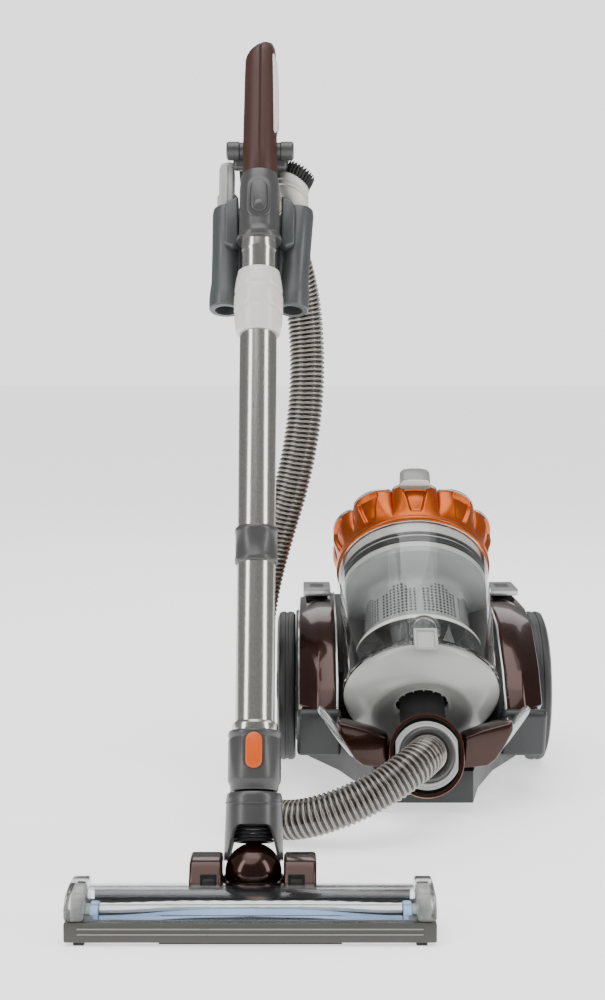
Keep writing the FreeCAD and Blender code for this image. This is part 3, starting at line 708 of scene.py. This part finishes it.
def makePedals():
    count, apart = pedalValues["ribs"], pedalValues["ribStep"]
    for name, label in (("power_pedal", "powerPedal"), ("reel_pedal", "reelPedal")):
        low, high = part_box(name)
        middle, size = (low + high) / 2 / mm, (high - low) / mm
        softened(name, label, name, "silverPaint", 1.8, 3)
        ribs = [block("rib", (middle.x, middle.y + apart * (k - (count - 1) / 2), middle.z + size.z / 2),
                      (size.x * 0.5, 1.6, 0.7), 0.25) for k in range(count)]
        ready(joined(label + "Ribs", ribs), name, "midGrey")
    steps, radius = pedalValues["turns"] * pedalValues["stepsPerTurn"], pedalValues["springRadius"]
    foot = pedalValues["springFoot"]
    for side, label, joint in ((-1, "powerSpring", "power_press"), (1, "reelSpring", "reel_press")):
        middleX, middleY = side * pedalValues["springX"], pedalValues["springY"]
        coil = []
        for k in range(steps + 1):
            turn = tau * k / pedalValues["stepsPerTurn"]
            height = foot + 1 + pedalValues["springTall"] * k / steps
            coil.append((middleX + radius * cos(turn), middleY + radius * sin(turn), height))
        spring = sweep(label, coil, pedalValues["wire"], 10)
        ready(spring, "canister", "bareSteel", canisterFrame, ["pedal_springs"])
        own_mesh(spring)


def makeCanister():
    makeWheels()
    makeShells()
    makePedals()
    softened("base_pan", "basePan", "canister", "darkCasing", 4, 3)
    softened("rear_cover", "rearCover", "canister", "darkCasing", 2.5, 3)
    softened("bin_cradle", "binCradle", "canister", "darkCasing", 1, 2)
    softened("cord_outlet", "cordOutlet", "canister", "blackRubber", 0.6, 2)
    softened("caster_fork", "casterFork", "caster", "darkCasing", 0.8, 2)
    print("canister is made")


# inlet: bezel, port, collar

inletValues = {
    "bezel": [(34, -8), (37.4, -8), (38.4, -6), (38.4, 0), (37.4, 1.7), (35.6, 2), (34, 0.5)],
    "edge": [(37.6, -0.2), (38.5, 0), (38.5, 0.9), (38, 1.6), (37.4, 1.6)],
    "well": [(28.2, -7.6), (37, -7.6), (37, -5.6), (28.2, -5.6)],
    "port": [(28.1, -6.2), (35, -6.2), (35, 1.5), (33.4, 3), (31.6, 3), (31, 5.4), (29.4, 6), (28.1, 5.2)],
    "collar": [(20.2, -5.8), (27.6, -5.8), (27.6, 7.4), (26.6, 8.2), (26.6, 9.4), (27.4, 10.2), (27, 12.6),
               (25.2, 14), (22.4, 14), (20.2, 12.4)],
    "longer": 4.5, "wellLonger": 4, "portHalf": 31.8, "ridges": 16,
}


def stretched(piece, longer):  # a ring pulled to an oval with straight sides
    return shaped(piece, lambda x, y, z: (x, y + max(-longer, min(longer, y * 2)), z))


def makeInlet():
    bezel = stretched(turned("inletBezel", inletValues["bezel"], 96, True), inletValues["longer"])
    # a thin copper ring on the bezel's outer edge: a painted highlight
    edge = stretched(turned("inletHighlightRing", inletValues["edge"], 96, True), inletValues["longer"])
    ready(bezel, "canister", "browns", inletFrame, ["front_bezel"])
    ready(edge, "canister", "copperEdge", inletFrame)
    # a near-black well inside the bezel, painted as the shade of the opening
    well = stretched(turned("inletWell", inletValues["well"], 64, True), inletValues["wellLonger"])
    ready(well, "canister", "darkVoid", inletFrame)
    half = inletValues["portHalf"]
    port = turned("inletPort", inletValues["port"], 96, True)
    shaped(port, lambda x, y, z: (max(-half, min(half, x)), y, z))  # two flat sides
    bevelled(port, 0.7, 2, 40)
    ready(port, "canister", "lightGrey", inletFrame, ["inlet_port"])
    collar = [turned("hoseCollar", inletValues["collar"], 96, True)]
    for k in range(inletValues["ridges"]):
        ridge = block("ridge", (27.3, 0, 3), (1, 1.6, 8), 0.35, 2)
        collar.append(placed(ridge, about("Z", 360 / inletValues["ridges"] * k)))
    ready(joined("hoseCollar", collar), "hose_cuff", "midGrey", inletFrame, ["hose_cuff"])


# dirt bin

binValues = {
    "cup": [(80.5, 0.2), (83.4, 0.2), (84.2, 2), (84.2, 4), (83.2, 5.5), (84.8, 160), (85.4, 166), (85.5, 174.6),
            (83.1, 174.6), (82.9, 160), (80.8, 5)],
    "seat": [(78, 140), (80, 140), (81, 144), (81.4, 147), (81.4, 174), (78, 174)],
    "seals": [(146, 154.4), (156.4, 161)],
    "shroud": [(0, 55), (50, 55), (54, 57), (52.6, 60), (52, 66), (52, 112), (54, 116), (60, 120), (70, 125),
               (79, 134), (80, 144), (0, 144)],
    "skirt": [(57.6, 21.4), (59, 20.6), (60.2, 21.4), (60.4, 24), (59, 50), (57, 55), (53, 58), (52.4, 56.4),
              (56, 53.4), (57.4, 48)],
    "skirtEdge": [(58, 50), (59.4, 50), (59.6, 52), (58, 55.6), (55, 58), (54, 57), (57, 54)],
    "cone": [(0, 15), (17, 15), (20.5, 17), (22, 20), (34, 40), (40, 54), (0, 54.6)],
    "lid": [(28.6, -10), (28.6, -15.4), (29.6, -16.6), (34, -17.6), (41, -20.6), (46, -24), (49.6, -26.4),
            (53, -27), (57, -26.2), (64, -22.6), (72, -16.6), (79, -10.2), (82, -6.6), (83, -4), (83, -2),
            (82, -0.6), (74, -0.6), (60, -6), (40, -9)],
    "holes": {"columns": 9, "rows": 10, "pitch": 4.9, "radius": 1.45, "low": 67, "panels": (-25, 25, -74, 74)},
    "vane": [(27.8, -19.6), (29.8, -18.4), (29.8, -13), (27.8, -12.6)],
    "fin": [(18, 17), (40, 24), (56, 44), (56, 53), (38, 53)],
    "vanes": 16, "fins": 10,
}
crownValues = {
    "lobes": 10, "lobeDepth": 10, "pocketDepth": 5, "inside": 66, "pocketTop": 221,
    "trim": [(89.4, 225.4), (92.8, 224.8), (93.9, 225.6), (93.9, 227.4), (92.6, 228), (89.8, 227.8)],
    "band": [(85.2, 176.2), (87.4, 176.2), (87.9, 177), (87.9, 180.4), (87.2, 181.4), (85.2, 181.4)],
    "well": [(0, 221.2), (62, 221.2), (63, 223.4), (61, 224.6), (52, 223), (30, 222.6), (0, 222.6)],
    "tab": [(-17, -80), (-17, -98), (-14, -102), (-6, -103.6), (6, -103.6), (14, -102), (17, -98), (17, -80)],
    "lip": [(-16.8, -96), (-14, -102.6), (-6, -104.2), (6, -104.2), (14, -102.6), (16.8, -96)],
}


def lobed(x, y, z, pockets=True):  # the crown's lobes and the tapered pocket on each of them
    radius, inside = sqrt(x * x + y * y), crownValues["inside"]
    if radius < inside or z < 180:
        return x, y, z
    turn = atan2(y, x) + pi / 2
    share = ease((z - 181) / 26)
    count = crownValues["lobes"]
    lobe = abs(cos(count / 2 * turn)) ** 0.55
    change = -crownValues["lobeDepth"] * share * (1 - lobe)
    top = crownValues["pocketTop"]
    if pockets and z < top:
        step = tau / count
        off = abs((turn + step / 2) % step - step / 2) * 180 / pi
        width = 4.6 + 4.8 * (z - 186) / 34  # half the pocket, in degrees
        depth = ease((width - off) / 2.2) * ease((z - 187) / 5) * ease((top - z) / 3)
        change -= crownValues["pocketDepth"] * depth
    scale = (radius + change * ease((radius - inside) / 14)) / radius
    return x * scale, y * scale, z


def makeCrown():
    rows = [(0, 176), (78, 175.6), (85.6, 175.6), (86.6, 176.6), (86.8, 179), (86.4, 181), (86, 182.5)]
    rows += [(86 + 8 * ease((3.6 + 1.5 * k) / 32), 183.6 + 1.5 * k) for k in range(25)]
    rows += [(94, 222.4), (93.4, 225), (91, 226.6), (86, 227), (80, 224.5), (70, 221.5), (40, 221), (0, 221)]
    crown = shaped(turned("crown", rows, 600), lobed)
    ready(crown, "bin_crown", "amber", binFrame, ["crown"], 50)
    trim = turned("crownTrim", crownValues["trim"], 320, True)
    shaped(trim, lambda x, y, z: lobed(x, y, z, False))
    ready(trim, "bin_crown", "silverPaint", binFrame, ["crown_trim"], 50)
    band = turned("crownBand", crownValues["band"], 160, True)
    ready(band, "bin_crown", "amber", binFrame, smooth=40)
    ready(turned("crownWell", crownValues["well"], 96), "bin_crown", "darkCasing", binFrame)
    tab = prism("binHandle", crownValues["tab"], [(219, 0.9), (221, 1), (238, 1), (240.6, 0.88)])
    bevelled(tab, 1.8, 3, 24)
    ready(tab, "bin_crown", "tabGrey", binFrame, ["bin_handle"])
    lip = prism("binHandleLip", crownValues["lip"], [(218.4, 1), (220.6, 1.02)])
    bevelled(lip, 0.8, 2, 24)
    ready(lip, "bin_crown", "whitePlastic", binFrame)
    button = block("binButton", (0, -91, 241), (20, 14, 2.9), 1.3, 3)
    ready(button, "bin_button", "lightGrey", binFrame, ["bin_button"])


def makeShroudHoles():
    values, low = binValues["holes"], binValues["holes"]["low"]
    pitch, rows, columns = values["pitch"], values["rows"], values["columns"]
    clearSelection()
    bpy.ops.mesh.primitive_cylinder_add(vertices=8, radius=values["radius"] * mm, depth=1.2 * mm,
                                        rotation=(0, pi / 2, 0))
    hole = bpy.context.object
    bpy.ops.object.transform_apply(location=True, rotation=True, scale=True)
    holes = []
    for panel in values["panels"]:
        for row in range(rows):
            for column in range(columns):
                off = column - (columns - 1) / 2
                if row > rows - 3 and abs(off) > 3.4 - (row - rows + 3):  # the panel's rounded top
                    continue
                copy = linked("hole", hole.data.copy())
                turn = about("Z", -90 + panel + off * pitch)
                copy.data.transform(turn @ at(51.7, 0, low + (pitch - 0.4) * row))
                holes.append(copy)
    bpy.data.objects.remove(hole)
    # dark discs on the shroud, painted as the shade seen through its holes
    ready(joined("shroudHoles", holes), "dirt_bin", "darkVoid", binFrame)


def makeBin():
    ready(turned("binCup", binValues["cup"], 128, True), "dirt_bin", "clearCup", binFrame, ["bin_cup"], 40)
    ready(turned("binSeat", binValues["seat"], 96, True), "dirt_bin", "lightGrey", binFrame)
    seals = [tunnel("seal", 82.5, 80, low, high, 96, 0.6) for low, high in binValues["seals"]]
    ready(joined("binSeals", seals), "dirt_bin", "blackRubber", binFrame, ["bin_gasket"])
    ready(turned("shroud", binValues["shroud"], 128), "dirt_bin", "shroudGrey", binFrame, ["shroud"])
    ready(turned("skirt", binValues["skirt"], 96, True), "dirt_bin", "smokyClear", binFrame)
    ready(turned("skirtEdge", binValues["skirtEdge"], 128, True), "dirt_bin", "whitePlastic", binFrame)
    makeShroudHoles()
    fins = [turned("cyclone", binValues["cone"], 64)]
    for k in range(binValues["fins"]):
        fin = placed(prism("fin", binValues["fin"], [(-0.9, 1), (0.9, 1)]), upright)
        fins.append(placed(fin, about("Z", 360 / binValues["fins"] * k)))
    ready(joined("cyclone", fins), "dirt_bin", "midGrey", binFrame, ["cyclone_cone"])
    ready(turned("binLid", binValues["lid"], 128, True), "bin_door", "lightGrey", binFrame, ["bin_door"])
    vanes = [tunnel("vane", 30.2, 28.7, -18.4, -14, 64, 0.4)]
    for k in range(binValues["vanes"]):
        vane = placed(prism("vane", binValues["vane"], [(-0.6, 1), (0.6, 1)]), upright)
        vanes.append(placed(vane, about("Z", 360 / binValues["vanes"] * k)))
    ready(joined("lidVanes", vanes), "bin_door", "lightGrey", binFrame)
    latch = [block("binLatch", (0, -87.2, 1), (23, 4, 25.6), 1.6, 3),
             block("bridge", (0, -88.6, 12.4), (24.6, 5, 3.2), 1.3, 3)]
    latch += [block("rail", (side * 10.6, -88.6, 1.2), (3.6, 5, 25.2), 1.3, 3) for side in (-1, 1)]
    ready(joined("binLatch", latch), "bin_latch", "lightGrey", binFrame, ["bin_latch"])
    arch = [(-14 * cos(pi * k / 16), -86.6, 17 + 15 * sin(pi * k / 16)) for k in range(17)]
    hook = sweep("latchArch", [(-14, -85.4, 8)] + arch + [(14, -85.4, 8)], 2.2, 16)
    ready(hook, "dirt_bin", "smokyClear", binFrame)
    makeCrown()
    print("dirt bin is made")


# wand, handle and tools

wandValues = {
    "outer": [(16.6, 104.4), (17.5, 104.4), (17.5, 119), (20.3, 120.2), (20.5, 122), (20.3, 126), (17.6, 128.5),
              (17.5, 130), (17.5, 504.6), (16.6, 504.6)],
    "inner": [(15.2, 160), (16.2, 160), (16.2, 581), (17.1, 583), (17.3, 585), (17.3, 599.6), (15.2, 599.6)],
    "collar": [(17.6, 272.4), (19, 272.4), (19.7, 273.4), (19.7, 277), (19.2, 278), (19.2, 300), (19.7, 301),
               (19.7, 304.6), (19, 305.6), (17.6, 305.6)],
    "coupling": [(17.6, 68.2), (20.6, 68.2), (21.2, 70), (21.2, 72.4), (23, 76), (23.4, 78), (23.4, 112),
                 (22.8, 113), (22.8, 114.4), (23.5, 115.4), (23.5, 118.6), (22.4, 120), (17.6, 120)],
    "grip": [(0, 665), (16.2, 665.6), (16.8, 668), (16.8, 690), (16.6, 720), (16.2, 750), (15.8, 780),
             (15.4, 800), (14.6, 808), (12.4, 814), (8.6, 818), (4, 819.6), (0, 820)],
    "body": [(0, 594.4), (21.4, 594.4), (21.8, 595.4), (21.8, 598), (21, 599), (19.6, 601), (19.5, 606),
             (19.5, 650), (18.6, 662), (17.4, 665.6), (0, 665.8)],
    "hub": [(0, -33.4), (7.6, -33.4), (9.3, -31.6), (9.3, -21), (8.4, -20), (8.4, 20), (9.3, 21), (9.3, 31.6),
            (7.6, 33.4), (0, 33.4)],
    "connector": [(0, 16), (17, 16), (20, 19), (21.7, 22), (21.7, 30), (20.6, 31), (20.6, 33), (21.7, 34),
                  (21.7, 52), (20.8, 57.4), (19.7, 57.4), (0, 57.4)],
    "panel": [(6, 704), (14.5, 706), (18.6, 722), (18.4, 762), (17, 788), (13, 802), (6, 806)],
    "headButton": 101, "handleButton": 634, "hoseHeight": 690, "hubHeight": 698,
}


def sleeveRadius(height):
    share = (height - 497) / 66
    return 20.2 + 3.4 * sin(pi * min(1, share * 1.06)) ** 0.7


def makeSleeve():
    rows = [(17.7, 497.4), (19.6, 497.4)]
    rows += [(sleeveRadius(498 + 1.4 * k), 498 + 1.4 * k) for k in range(46)] + [(17.7, 562.4)]
    sleeve = turned("lockSleeve", rows, 96, True)

    def grooves(x, y, z):
        radius = sqrt(x * x + y * y)
        if radius < 19:
            return x, y, z
        wave = 2.4 * cos(2 * atan2(x, -y))
        dip = sum(0.9 * 2.718 ** -(((z - level - wave) / 1.7) ** 2) for level in (520, 541))
        return x * (radius - dip) / radius, y * (radius - dip) / radius, z

    shaped(sleeve, grooves)
    ready(sleeve, "lock_sleeve", "whitePlastic", wandFrame, ["lock_sleeve"])


# an oval pad that faces the front; its body, its joint's child, has the CAD node's name
def ovalButton(name, middle, half, radius, low, high, body, finish, bump=False):
    outline = [(y, x) for x, y in stadium(half, radius)][::-1]
    piece = prism(name, outline, [(low, 1), (high - 0.8, 1), (high, 0.86)])
    bevelled(piece, 0.5, 2, 24)
    placed(piece, at(0, 0, middle) @ upright)
    if bump:
        stud = turned("bump", [(0, 21), (4.6, 21), (4.4, 21.9), (3, 22.6), (0, 23)], 32)
        piece = joined(name, [piece, placed(stud, at(0, 0, middle - 9) @ upright)])
    return ready(piece, body, finish, wandFrame, [body])


def ovalFrame(name, middle, half, radius, low, high, body, finish):
    outer = prism(name, [(y, x) for x, y in stadium(half, radius)][::-1], [(low, 1), (high, 0.96)])
    bevelled(outer, 0.7, 2, 24)
    placed(outer, wandFrame @ at(0, 0, middle) @ upright)
    return ready(outer, body, finish)


def makeHandle():
    body = turned("handleBody", wandValues["body"], 72)
    hub = placed(turned("hub", wandValues["hub"], 40), at(0, 8, wandValues["hubHeight"]) @ sideways)
    strap = block("strap", (0, 9, 680), (34, 18, 40), 5, 4)
    ready(joined("handleBody", [body, hub, strap]), "upper_wand", "midGrey", wandFrame, ["handle_body"])
    middle = wandValues["handleButton"]
    ovalFrame("handleFrame", middle, 11, 12, 14, 19.8, "upper_wand", "midGrey")
    # a near-black ring round the button, painted as the shade in the gap
    ovalFrame("handleButtonGroove", middle, 9, 8.8, 18, 20.1, "upper_wand", "darkVoid")
    ovalButton("handleButton", middle, 9, 7.8, 18.6, 21.6, "handle_button", "midGrey", True)

    def gripShape(x, y, z):  # a sunk seam down the front, and a slanted top
        sunk = 1.1 if abs(x) < 0.7 and y < 0 else 0
        above = max(0, z - 780)
        return x, y + sunk, z - above * 0.012 * (16 - x) * ease(above / 30)

    grip = shaped(turned("handleGrip", wandValues["grip"], 72), gripShape)
    ready(grip, "upper_wand", "gripBrown", wandFrame, ["handle_grip"])
    panel = prism("gripPanel", wandValues["panel"], [(-12, 0.9), (-8, 1), (6, 1), (9.6, 0.92)])
    bevelled(panel, 2, 3, 24)
    ready(panel, "upper_wand", "whitePlastic", wandFrame @ upright)
    connector = turned("hoseConnector", wandValues["connector"], 72)
    yoke = block("yoke", (0, 0, 14), (54, 20, 10), 4, 4)
    backwards = wandFrame @ at(0, 0, wandValues["hoseHeight"]) @ Matrix.Rotation(radians(-90), 4, "X")
    ready(joined("hoseConnector", [connector, yoke]), "upper_wand", "midGrey", backwards, ["hose_connector"])


def makeWand():
    for name, profile, body, finish, node in (
            ("outerTube", "outer", "canister", "tubeSteel", "outer_tube"),
            ("innerTube", "inner", "upper_wand", "tubeSteel", "inner_tube"),
            ("tubeCollar", "collar", "canister", "midGrey", "tube_collar"),
            ("neckCoupling", "coupling", "canister", "midGrey", "neck_coupling")):
        ready(turned(name, wandValues[profile], 72, True), body, finish, wandFrame, [node])
    middle = wandValues["headButton"]
    ovalFrame("headButtonFrame", middle, 9, 10.2, 18, 22.2, "canister", "midGrey")
    # a near-black ring round the button, painted as the shade in the gap
    ovalFrame("headButtonGroove", middle, 8.4, 8.1, 18, 22.7, "canister", "darkVoid")
    ovalButton("headButton", middle, 8.4, 7.2, 20.8, 25.8, "head_button", "buttonOrange")
    makeSleeve()
    makeHandle()
    makeHolder()
    makeTools()
    print("wand is made")


holderValues = {  # the left side is the mirror of these
    "apart": 33, "behind": 33, "lean": 4, "leanHeight": 560,
    "socket": [(10.6, 537), (15.2, 537), (16.4, 538.6), (16.4, 548), (15.8, 556), (14.6, 566), (14.4, 600),
               (14.6, 640), (13.6, 645), (11.4, 646), (10.6, 645)],
    "cheek": [(20.4, 599.4), (26, 596), (34, 600), (35, 640), (31, 648), (21.4, 652)],
    "wing": [(18, 566), (34, 562), (36, 600), (18, 604)],
}
rightLean = about("Y", holderValues["lean"], (holderValues["apart"], 0, holderValues["leanHeight"]))


def makeHolder():
    parts = []
    for side in (-1, 1):
        tube = turned("socket", holderValues["socket"], 48, True)
        placed(tube, at(side * holderValues["apart"], holderValues["behind"], 0))
        if side > 0:
            placed(tube, rightLean)
        parts.append(tube)
        for name, rounding, levels in (("cheek", 1.6, [(-36, 1), (-16, 1), (-12.6, 0.94)]),
                                       ("wing", 2, [(-37, 1), (-25, 1)])):
            plate = prism(name, [(side * x, z) for x, z in holderValues[name]], levels)
            bevelled(plate, rounding, 3, 24)
            parts.append(placed(plate, upright))
    parts.append(block("web", (0, 33, 604), (70, 12, 70), 4, 3))
    ready(joined("toolHolder", parts), "upper_wand", "holderGrey", wandFrame, ["tool_holder"])


toolValues = {
    "blade": [(-41, 645), (-26.2, 645), (-26.2, 692), (-31, 693.8), (-39, 691.6), (-41, 686)],
    "stem": [(0, 572), (9.6, 572), (10.2, 576), (10.2, 660), (0, 660)],
    "brush": [(0, 572), (9.8, 572), (10.2, 576), (10.2, 628), (11.4, 629.6), (11.4, 633), (10.6, 634), (12, 644),
              (14.4, 656), (15.6, 666), (16.2, 672), (16.2, 676), (15.4, 677), (0, 677)],
    "tuft": [(0, 674), (1.25, 674), (1.1, 684), (0.5, 690), (0, 690.4)],
    "tuftRings": ((14.4, 30), (11.8, 24), (9, 18)),  # radius and count
    "mouth": 674,
}


def brushLean(x, y, z):  # the brush's mouth slants to the right, on a neck that leans left
    share = ease((z - 636) / 34)
    return x - 9 * share + 0.34 * max(0, z - toolValues["mouth"]), y, z - 0.5 * x * share


def makeTools():
    apart, behind = holderValues["apart"], holderValues["behind"]
    blade = prism("creviceTool", toolValues["blade"], [(-47, 0.92), (-44, 1), (-22, 1), (-19, 0.92)])
    bevelled(blade, 2.4, 3, 24)
    placed(blade, upright)
    slit = block("slit", (-33.6, 18.8, 668), (3, 1.2, 40), 0.5)
    stem = placed(turned("stem", toolValues["stem"], 40), at(-apart, behind, 0))
    crevice = joined("creviceTool", [blade, slit, stem])
    ready(crevice, "crevice_tool", "lightGrey", wandFrame, ["crevice_tool"])
    brushFrame = wandFrame @ rightLean @ at(apart, behind, 0)
    brush = [turned("dustingBrush", toolValues["brush"], 56), tunnel("rim", 16.9, 14, 668, 669.6, 56, 0.4),
             tunnel("rim", 16.6, 13, 663, 664.4, 56, 0.4)]
    head = shaped(joined("dustingBrush", brush), brushLean)
    ready(head, "dusting_brush", "whitePlastic", brushFrame, ["dusting_brush"])
    outwards = about("Y", 5, (0, 0, toolValues["mouth"]))
    tufts = []
    for ring, count in toolValues["tuftRings"]:
        for k in range(count):
            tuft = turned("tuft", toolValues["tuft"], 6)
            tufts.append(placed(tuft, about("Z", 360 * k / count) @ at(ring, 0, 0) @ outwards))
    tufts = shaped(joined("brushTufts", tufts), brushLean)
    ready(tufts, "dusting_brush", "blackBristle", brushFrame)


# neck and floor head

neckValues = {"top": 66, "foot": 9, "arch": 29, "outer": 24.4, "inner": 22.9, "flare": 25.6, "steps": 8,
              "folds": 5}


def neckFoot(x, y, z):  # the sleeve's foot is arched at the front and back, with a cheek at each side
    top, low = neckValues["top"], neckValues["foot"]
    radius = max(sqrt(x * x + y * y), 0.001)
    foot = low + neckValues["arch"] * ease((abs(y) / radius - 0.35) / 0.55)
    return x, y, foot + (z - low) * (top - foot) / (top - low)


def makeNeck():
    top, foot, steps = neckValues["top"], neckValues["foot"], neckValues["steps"]
    outer, inner, flare = neckValues["outer"], neckValues["inner"], neckValues["flare"]
    wall = [(inner, foot), (flare, foot + 0.6)]
    wall += [(flare - (flare - outer) * k / steps, foot + 0.6 + 6 * k) for k in range(1, steps + 1)]
    wall += [(outer, top - 3), (outer - 1, top), (inner - 1.4, top), (inner, top - 4)]
    wall += [(inner, top - 4 - 6 * k) for k in range(1, steps + 1)]
    sleeve = shaped(turned("neckSleeve", wall, 96, True), neckFoot)
    seam = tunnel("seam", outer + 0.8, outer - 0.4, 57.4, 59.4, 96, 0.5)
    shaped(seam, lambda x, y, z: (x, y, z + 0.12 * y))
    cap = turned("cap", [(0, 40), (22.6, 40), (22.6, 44), (0, 44)], 64)
    ready(joined("neckSleeve", [sleeve, seam, cap]), "neck", "midGrey", wandFrame, ["neck_fork"])
    folds = []
    for k in range(neckValues["folds"]):
        radius, low = 17.4 + 0.7 * k, 24.6 + 3.2 * k
        profile = [(radius - 4, low), (radius - 0.6, low + 0.2), (radius, low + 1.2), (radius - 0.6, low + 2.2),
                   (radius - 4, low + 2.5)]
        folds.append(turned("fold", profile, 64, True))
    ready(joined("neckBellows", folds), "neck", "blackRubber", wandFrame, ["neck_bellows"])


headValues = {
    "window": [(-88, 19.6), (-88.6, 25), (-84, 33), (-74, 37.6), (-52, 37.8), (-38, 35), (-31, 30), (-30, 20),
               (-32.4, 20), (-33.4, 28.6), (-40, 32.8), (-52, 35.4), (-73, 35.2), (-82, 31.4), (-86, 24.6),
               (-85.6, 19.6)],
    "capCore": [(0, -5), (8, -5), (9, 0), (8, 5), (0, 5)],
    "roller": [(0, -5), (4, -5), (4.6, -4), (4.6, 4), (4, 5), (0, 5)],
    "ball": 24.4, "ballHeight": 32, "housing": 37, "grooves": (14.6, 10.2),
}


def makeHead():
    softened("head_base", "headBase", "floor_head", "darkCasing", 1.2, 2)
    softened("head_bumper", "headBumper", "floor_head", "oliveBumper", 1.6, 3)
    for row, height in enumerate(headValues["grooves"]):
        groove = block("bumperGroove%d" % (row + 1), (0, -90.2, height), (278, 1, 1), 0.3)
        ready(groove, "floor_head", "tabGrey", headFrame)
    window = prism("headWindow", headValues["window"], [(-133.6, 1), (133.6, 1)])
    ready(window, "floor_head", "clearWindow", headFrame @ sideways, ["head_window"])
    softened("head_caps", "headCaps", "floor_head", "smokyClear", 2.6, 3)
    cores = []
    for side in (-1, 1):
        cores.append(block("core", (side * 141.5, -60, 24), (9, 26, 20), 3, 3))
        cores.append(placed(turned("core", headValues["capCore"], 32), at(side * 136, -62, 17) @ sideways))
    ready(joined("capCores", cores), "floor_head", "lightGrey", headFrame)
    # a near-black strip behind the window, painted as the shade inside the head
    ready(block("headInsideShade", (0, -32.4, 24), (264, 1.6, 10), 0.5), "floor_head", "darkVoid", headFrame)
    feet = [block("foot", (side * 138, -84, 1.7), (9, 8, 3.2), 0.8) for side in (-1, 1)]
    feet.append(block("lint", (0, -84.6, 1.9), (148, 3, 2.6), 0.8))
    ready(joined("headFeet", feet), "floor_head", "blackRubber", headFrame)
    softened("wheel_housings", "wheelHousings", "floor_head", "browns", 4, 4)
    radius, height = headValues["ball"], headValues["ballHeight"]
    arc = [(radius * cos(radians(a)), height + radius * sin(radians(a))) for a in range(-72, 91, 6)]
    ball = turned("neckBall", arc + [(0, 8.8)], 72, True)
    lug = block("lug", (0, 0, 18.5), (53, 26, 19), 4, 4)
    ready(joined("neckBall", [ball, lug]), "floor_head", "browns", headFrame, ["neck_ball"])
    ports, rollers, across = [], [], headValues["housing"]
    for side in (-1, 1):
        ports.append(block("port", (side * across, -29.7, 33.6), (14, 1.6, 12), 0.7, 2))
        roller = turned("roller", headValues["roller"], 24)
        rollers.append(placed(roller, at(side * across, -28, 32) @ sideways))
    # the ports are near-black plates, painted as the shade inside the openings
    ready(joined("housingPorts", ports), "floor_head", "darkVoid", headFrame)
    ready(joined("housingRollers", rollers), "floor_head", "blackRubber", headFrame)


rollValues = {
    "core": [(0, -131.6), (5, -131.6), (5, -129), (9.4, -128), (9.6, 128), (5, 129), (5, 131.6), (0, 131.6)],
    "half": 123, "steps": 360, "foot": 9,
    "strips": {  # finish, start and slope in degrees, tall, thick, ragged
        "rollBristles": ("whiteBristle", 108, 14, 13.5, 7.4, 0.22),
        "rollStrips": ("blueStrip", 140, 30, 12.6, 6.4, 0),
    },
}


def rollStrip(name, start, slope, tall, thick, ragged):  # one strip that bows to each side of the roll's middle
    steps, half, foot = rollValues["steps"], rollValues["half"], rollValues["foot"]
    places = []
    for k in range(steps + 1):
        along = -half + 2 * half * k / steps
        turn = radians(start + slope * abs(along) / 124 + 3 * cos(along / 17))
        change = ragged * sin(k * 12.9)
        for off, radius in ((-thick / 2, foot), (-thick / 2.6, tall + change), (thick / 2.6, tall - change),
                            (thick / 2, foot)):
            angle = turn + off / 11
            places.append((radius * cos(angle) * mm, radius * sin(angle) * mm, along * mm))
    return fromRings(name, places, 4)


def makeRoll():
    rollFrame = headFrame @ at(0, -62, 15) @ sideways
    ready(turned("brushRoll", rollValues["core"], 40), "brush_roll", "darkCasing", rollFrame, ["brush_roll"])
    for name, (finish, start, *rest) in rollValues["strips"].items():
        strips = [rollStrip(name, start + half, *rest) for half in (0, 180)]
        ready(joined(name, strips), "brush_roll", finish, rollFrame)
    collars = [tunnel("collar", 12.6, 8, low, low + 7, 40, 0.8) for low in (-131, 124)]
    ready(joined("rollCollars", collars), "brush_roll", "blueStrip", rollFrame)


# the CAD nodes that stay get their finish

nodeFinishes = {
    "pan_screws": "tubeSteel", "motor_housing": "midGrey", "motor_rotor": "copperWire", "cord_reel": "midGrey",
    # the inlet duct takes the near-black painted shade
    "wheel_axles": "tubeSteel", "caster_wheel": "tyreRubber", "inlet_duct": "darkVoid",
    "left_head_wheel": "tyreRubber", "right_head_wheel": "tyreRubber",
}


def finishNodes():
    for name, finish in nodeFinishes.items():
        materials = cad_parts[name].data.materials
        materials.clear()
        materials.append(finishes[finish])
    print("the CAD nodes that stay have their finish")


makeCanister()
makeInlet()
makeBin()
makeWand()
makeNeck()
makeHead()
makeRoll()
finishNodes()
print("all pieces are made")
